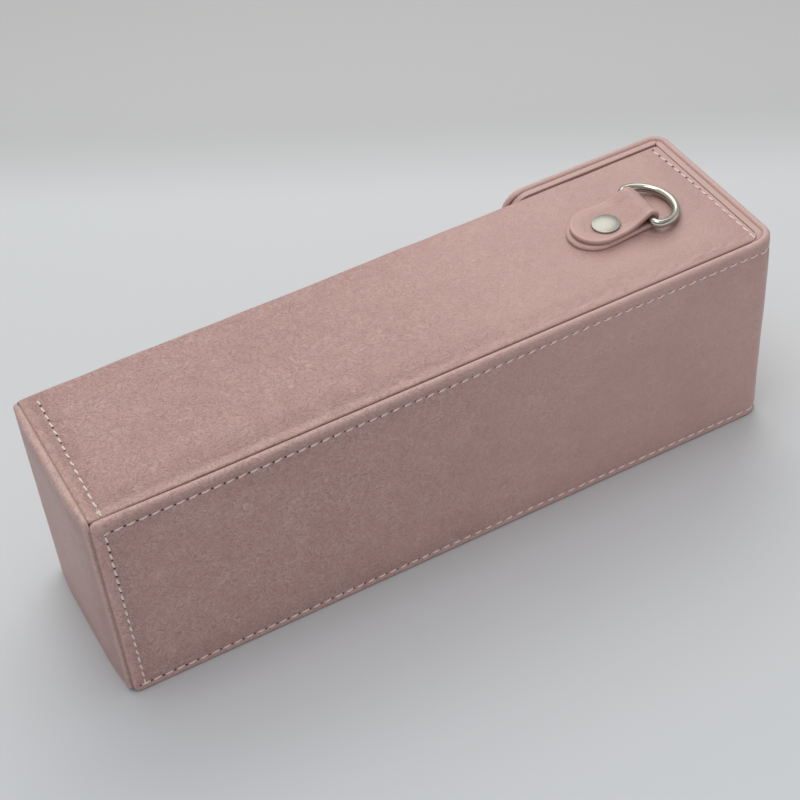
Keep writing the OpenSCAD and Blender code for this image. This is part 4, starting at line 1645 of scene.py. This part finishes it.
class CASE_OT_stage(bpy.types.Operator):
    """Sets the floor, the lamps and the camera"""

    bl_idname = "case.stage"
    bl_label = "Stage"

    def execute(self, context):
        scene = context.scene
        scene.view_settings.view_transform = "Standard"
        camera = bpy.data.cameras.new("Camera")
        holder = bpy.data.objects.new("Camera", camera)
        scene.collection.objects.link(holder)
        azimuth, height, turn = map(math.radians, CAMERA_TURNS)
        back = Vector((math.sin(azimuth) * math.cos(height), -math.cos(azimuth) * math.cos(height),
                       math.sin(height)))
        right = (-back).cross(Vector((0, 0, 1))).normalized()
        down = (-back).cross(right)
        x_axis = math.cos(turn) * right + math.sin(turn) * down
        y_axis = math.sin(turn) * right - math.cos(turn) * down
        place = Vector(row(CAMERA_AT))
        rows = [(x_axis[k], y_axis[k], back[k], place[k]) for k in range(3)]
        holder.matrix_world = Matrix((*rows, (0, 0, 0, 1)))
        camera.lens = CAMERA_LENS
        camera.sensor_width = 36
        scene.camera = holder
        self.floor()
        self.lamps(scene)
        return {"FINISHED"}

    def floor(self):
        mesh = bpy.data.meshes.new("floor")
        corners = [(FLOOR_HALF * x, FLOOR_HALF * y, 0) for x, y in ((-1, -1), (1, -1), (1, 1), (-1, 1))]
        mesh.from_pydata(corners, [], [(0, 1, 2, 3)])
        material, w, shader = new_material("Pale table")
        where = w.node("ShaderNodeTexCoord").outputs["Object"]
        parts = w.node("ShaderNodeSeparateXYZ", {0: where})
        away = w.math("ADD", w.math("MULTIPLY", parts.outputs["X"], FLOOR_AWAY[0]),
                      w.math("MULTIPLY", parts.outputs["Y"], FLOOR_AWAY[1]))
        cloud = w.node("ShaderNodeTexNoise", {"Vector": where, "Scale": 3.0, "Detail": 1.0})
        tone = w.mix(cloud.outputs[0], (0.61, 0.63, 0.645), (0.63, 0.65, 0.665))
        # Paints the floor's light and shade as bands across it.
        for *band, shade in FLOOR_LIGHT_AND_SHADE:
            tone = w.mix(w.remap(away, *band), tone, shade)
        w.links.new(tone, shader.inputs["Base Color"])
        shader.inputs["Roughness"].default_value = 0.6
        show("floor", mesh, material)

    def lamps(self, scene):
        world = scene.world or bpy.data.worlds.new("World")
        scene.world = world
        world.use_nodes = True
        w = Weaver(world.node_tree)
        shade = world.node_tree.nodes["Background"]
        looking = w.node("ShaderNodeTexCoord").outputs["Generated"]
        parts = w.node("ShaderNodeSeparateXYZ", {0: looking})
        height, away = parts.outputs["Z"], parts.outputs["Y"]
        ahead = w.mix(w.remap(height, 0.10, 0.45), *SKY_AHEAD[:2])
        ahead = w.mix(w.remap(height, 0.75, 0.98), ahead, SKY_AHEAD[2])
        behind = w.mix(w.remap(height, 0.0, 0.6), *SKY_BEHIND)
        sky = w.mix(w.remap(away, -0.30, 0.30), ahead, behind)
        w.links.new(sky, shade.inputs["Color"])
        shade.inputs["Strength"].default_value = 1.0
        for name, at, size, power, colour in LAMPS:
            lamp = bpy.data.lights.new(name, "AREA")
            lamp.shape = "DISK"
            lamp.size = size
            lamp.energy = power
            lamp.color = colour
            holder = bpy.data.objects.new(name, lamp)
            holder.location = at
            aim = Vector(LAMP_AIM) - Vector(at)
            holder.rotation_euler = aim.to_track_quat("-Z", "Y").to_euler()
            scene.collection.objects.link(holder)


class CASE_PT_panel(bpy.types.Panel):
    """Lists the case's pieces and its sizes"""

    bl_label = "Leather case"
    bl_idname = "CASE_PT_panel"
    bl_space_type = "VIEW_3D"
    bl_region_type = "UI"
    bl_category = "Case"

    def draw(self, context):
        for name in STEPS:
            self.layout.operator(f"case.{name}")
        for group in GROUPS:
            settings = getattr(context.scene, group)
            box = self.layout.box()
            for key in settings.bl_rna.properties.keys():
                if key not in ("rna_type", "name"):
                    box.prop(settings, key)


STEPS = ["stage", "strap", "inner_leather", "body", "lining", "ring_tab", "stitches", "hidden_parts"]
GROUPS = {
    "case_sizes": CaseSizes, "seam_sizes": SeamSizes, "tab_sizes": TabSizes, "case_finish": CaseFinish,
}
CLASSES = [
    *GROUPS.values(), CASE_OT_strap, CASE_OT_inner_leather, CASE_OT_body, CASE_OT_lining,
    CASE_OT_ring_tab, CASE_OT_stitches, CASE_OT_hidden_parts, CASE_OT_stage, CASE_PT_panel,
]


def register():
    """Registers the classes and hangs the settings on the scene."""
    for item in CLASSES:
        bpy.utils.register_class(item)
    for name, group in GROUPS.items():
        setattr(bpy.types.Scene, name, bpy.props.PointerProperty(type=group))


def unregister():
    """Takes the settings and the classes away again."""
    for name in GROUPS:
        delattr(bpy.types.Scene, name)
    for item in reversed(CLASSES):
        bpy.utils.unregister_class(item)


def main():
    """Builds everything in order."""
    register()
    for name in STEPS:
        getattr(bpy.ops.case, name)()


if __name__ == "__main__":
    main()
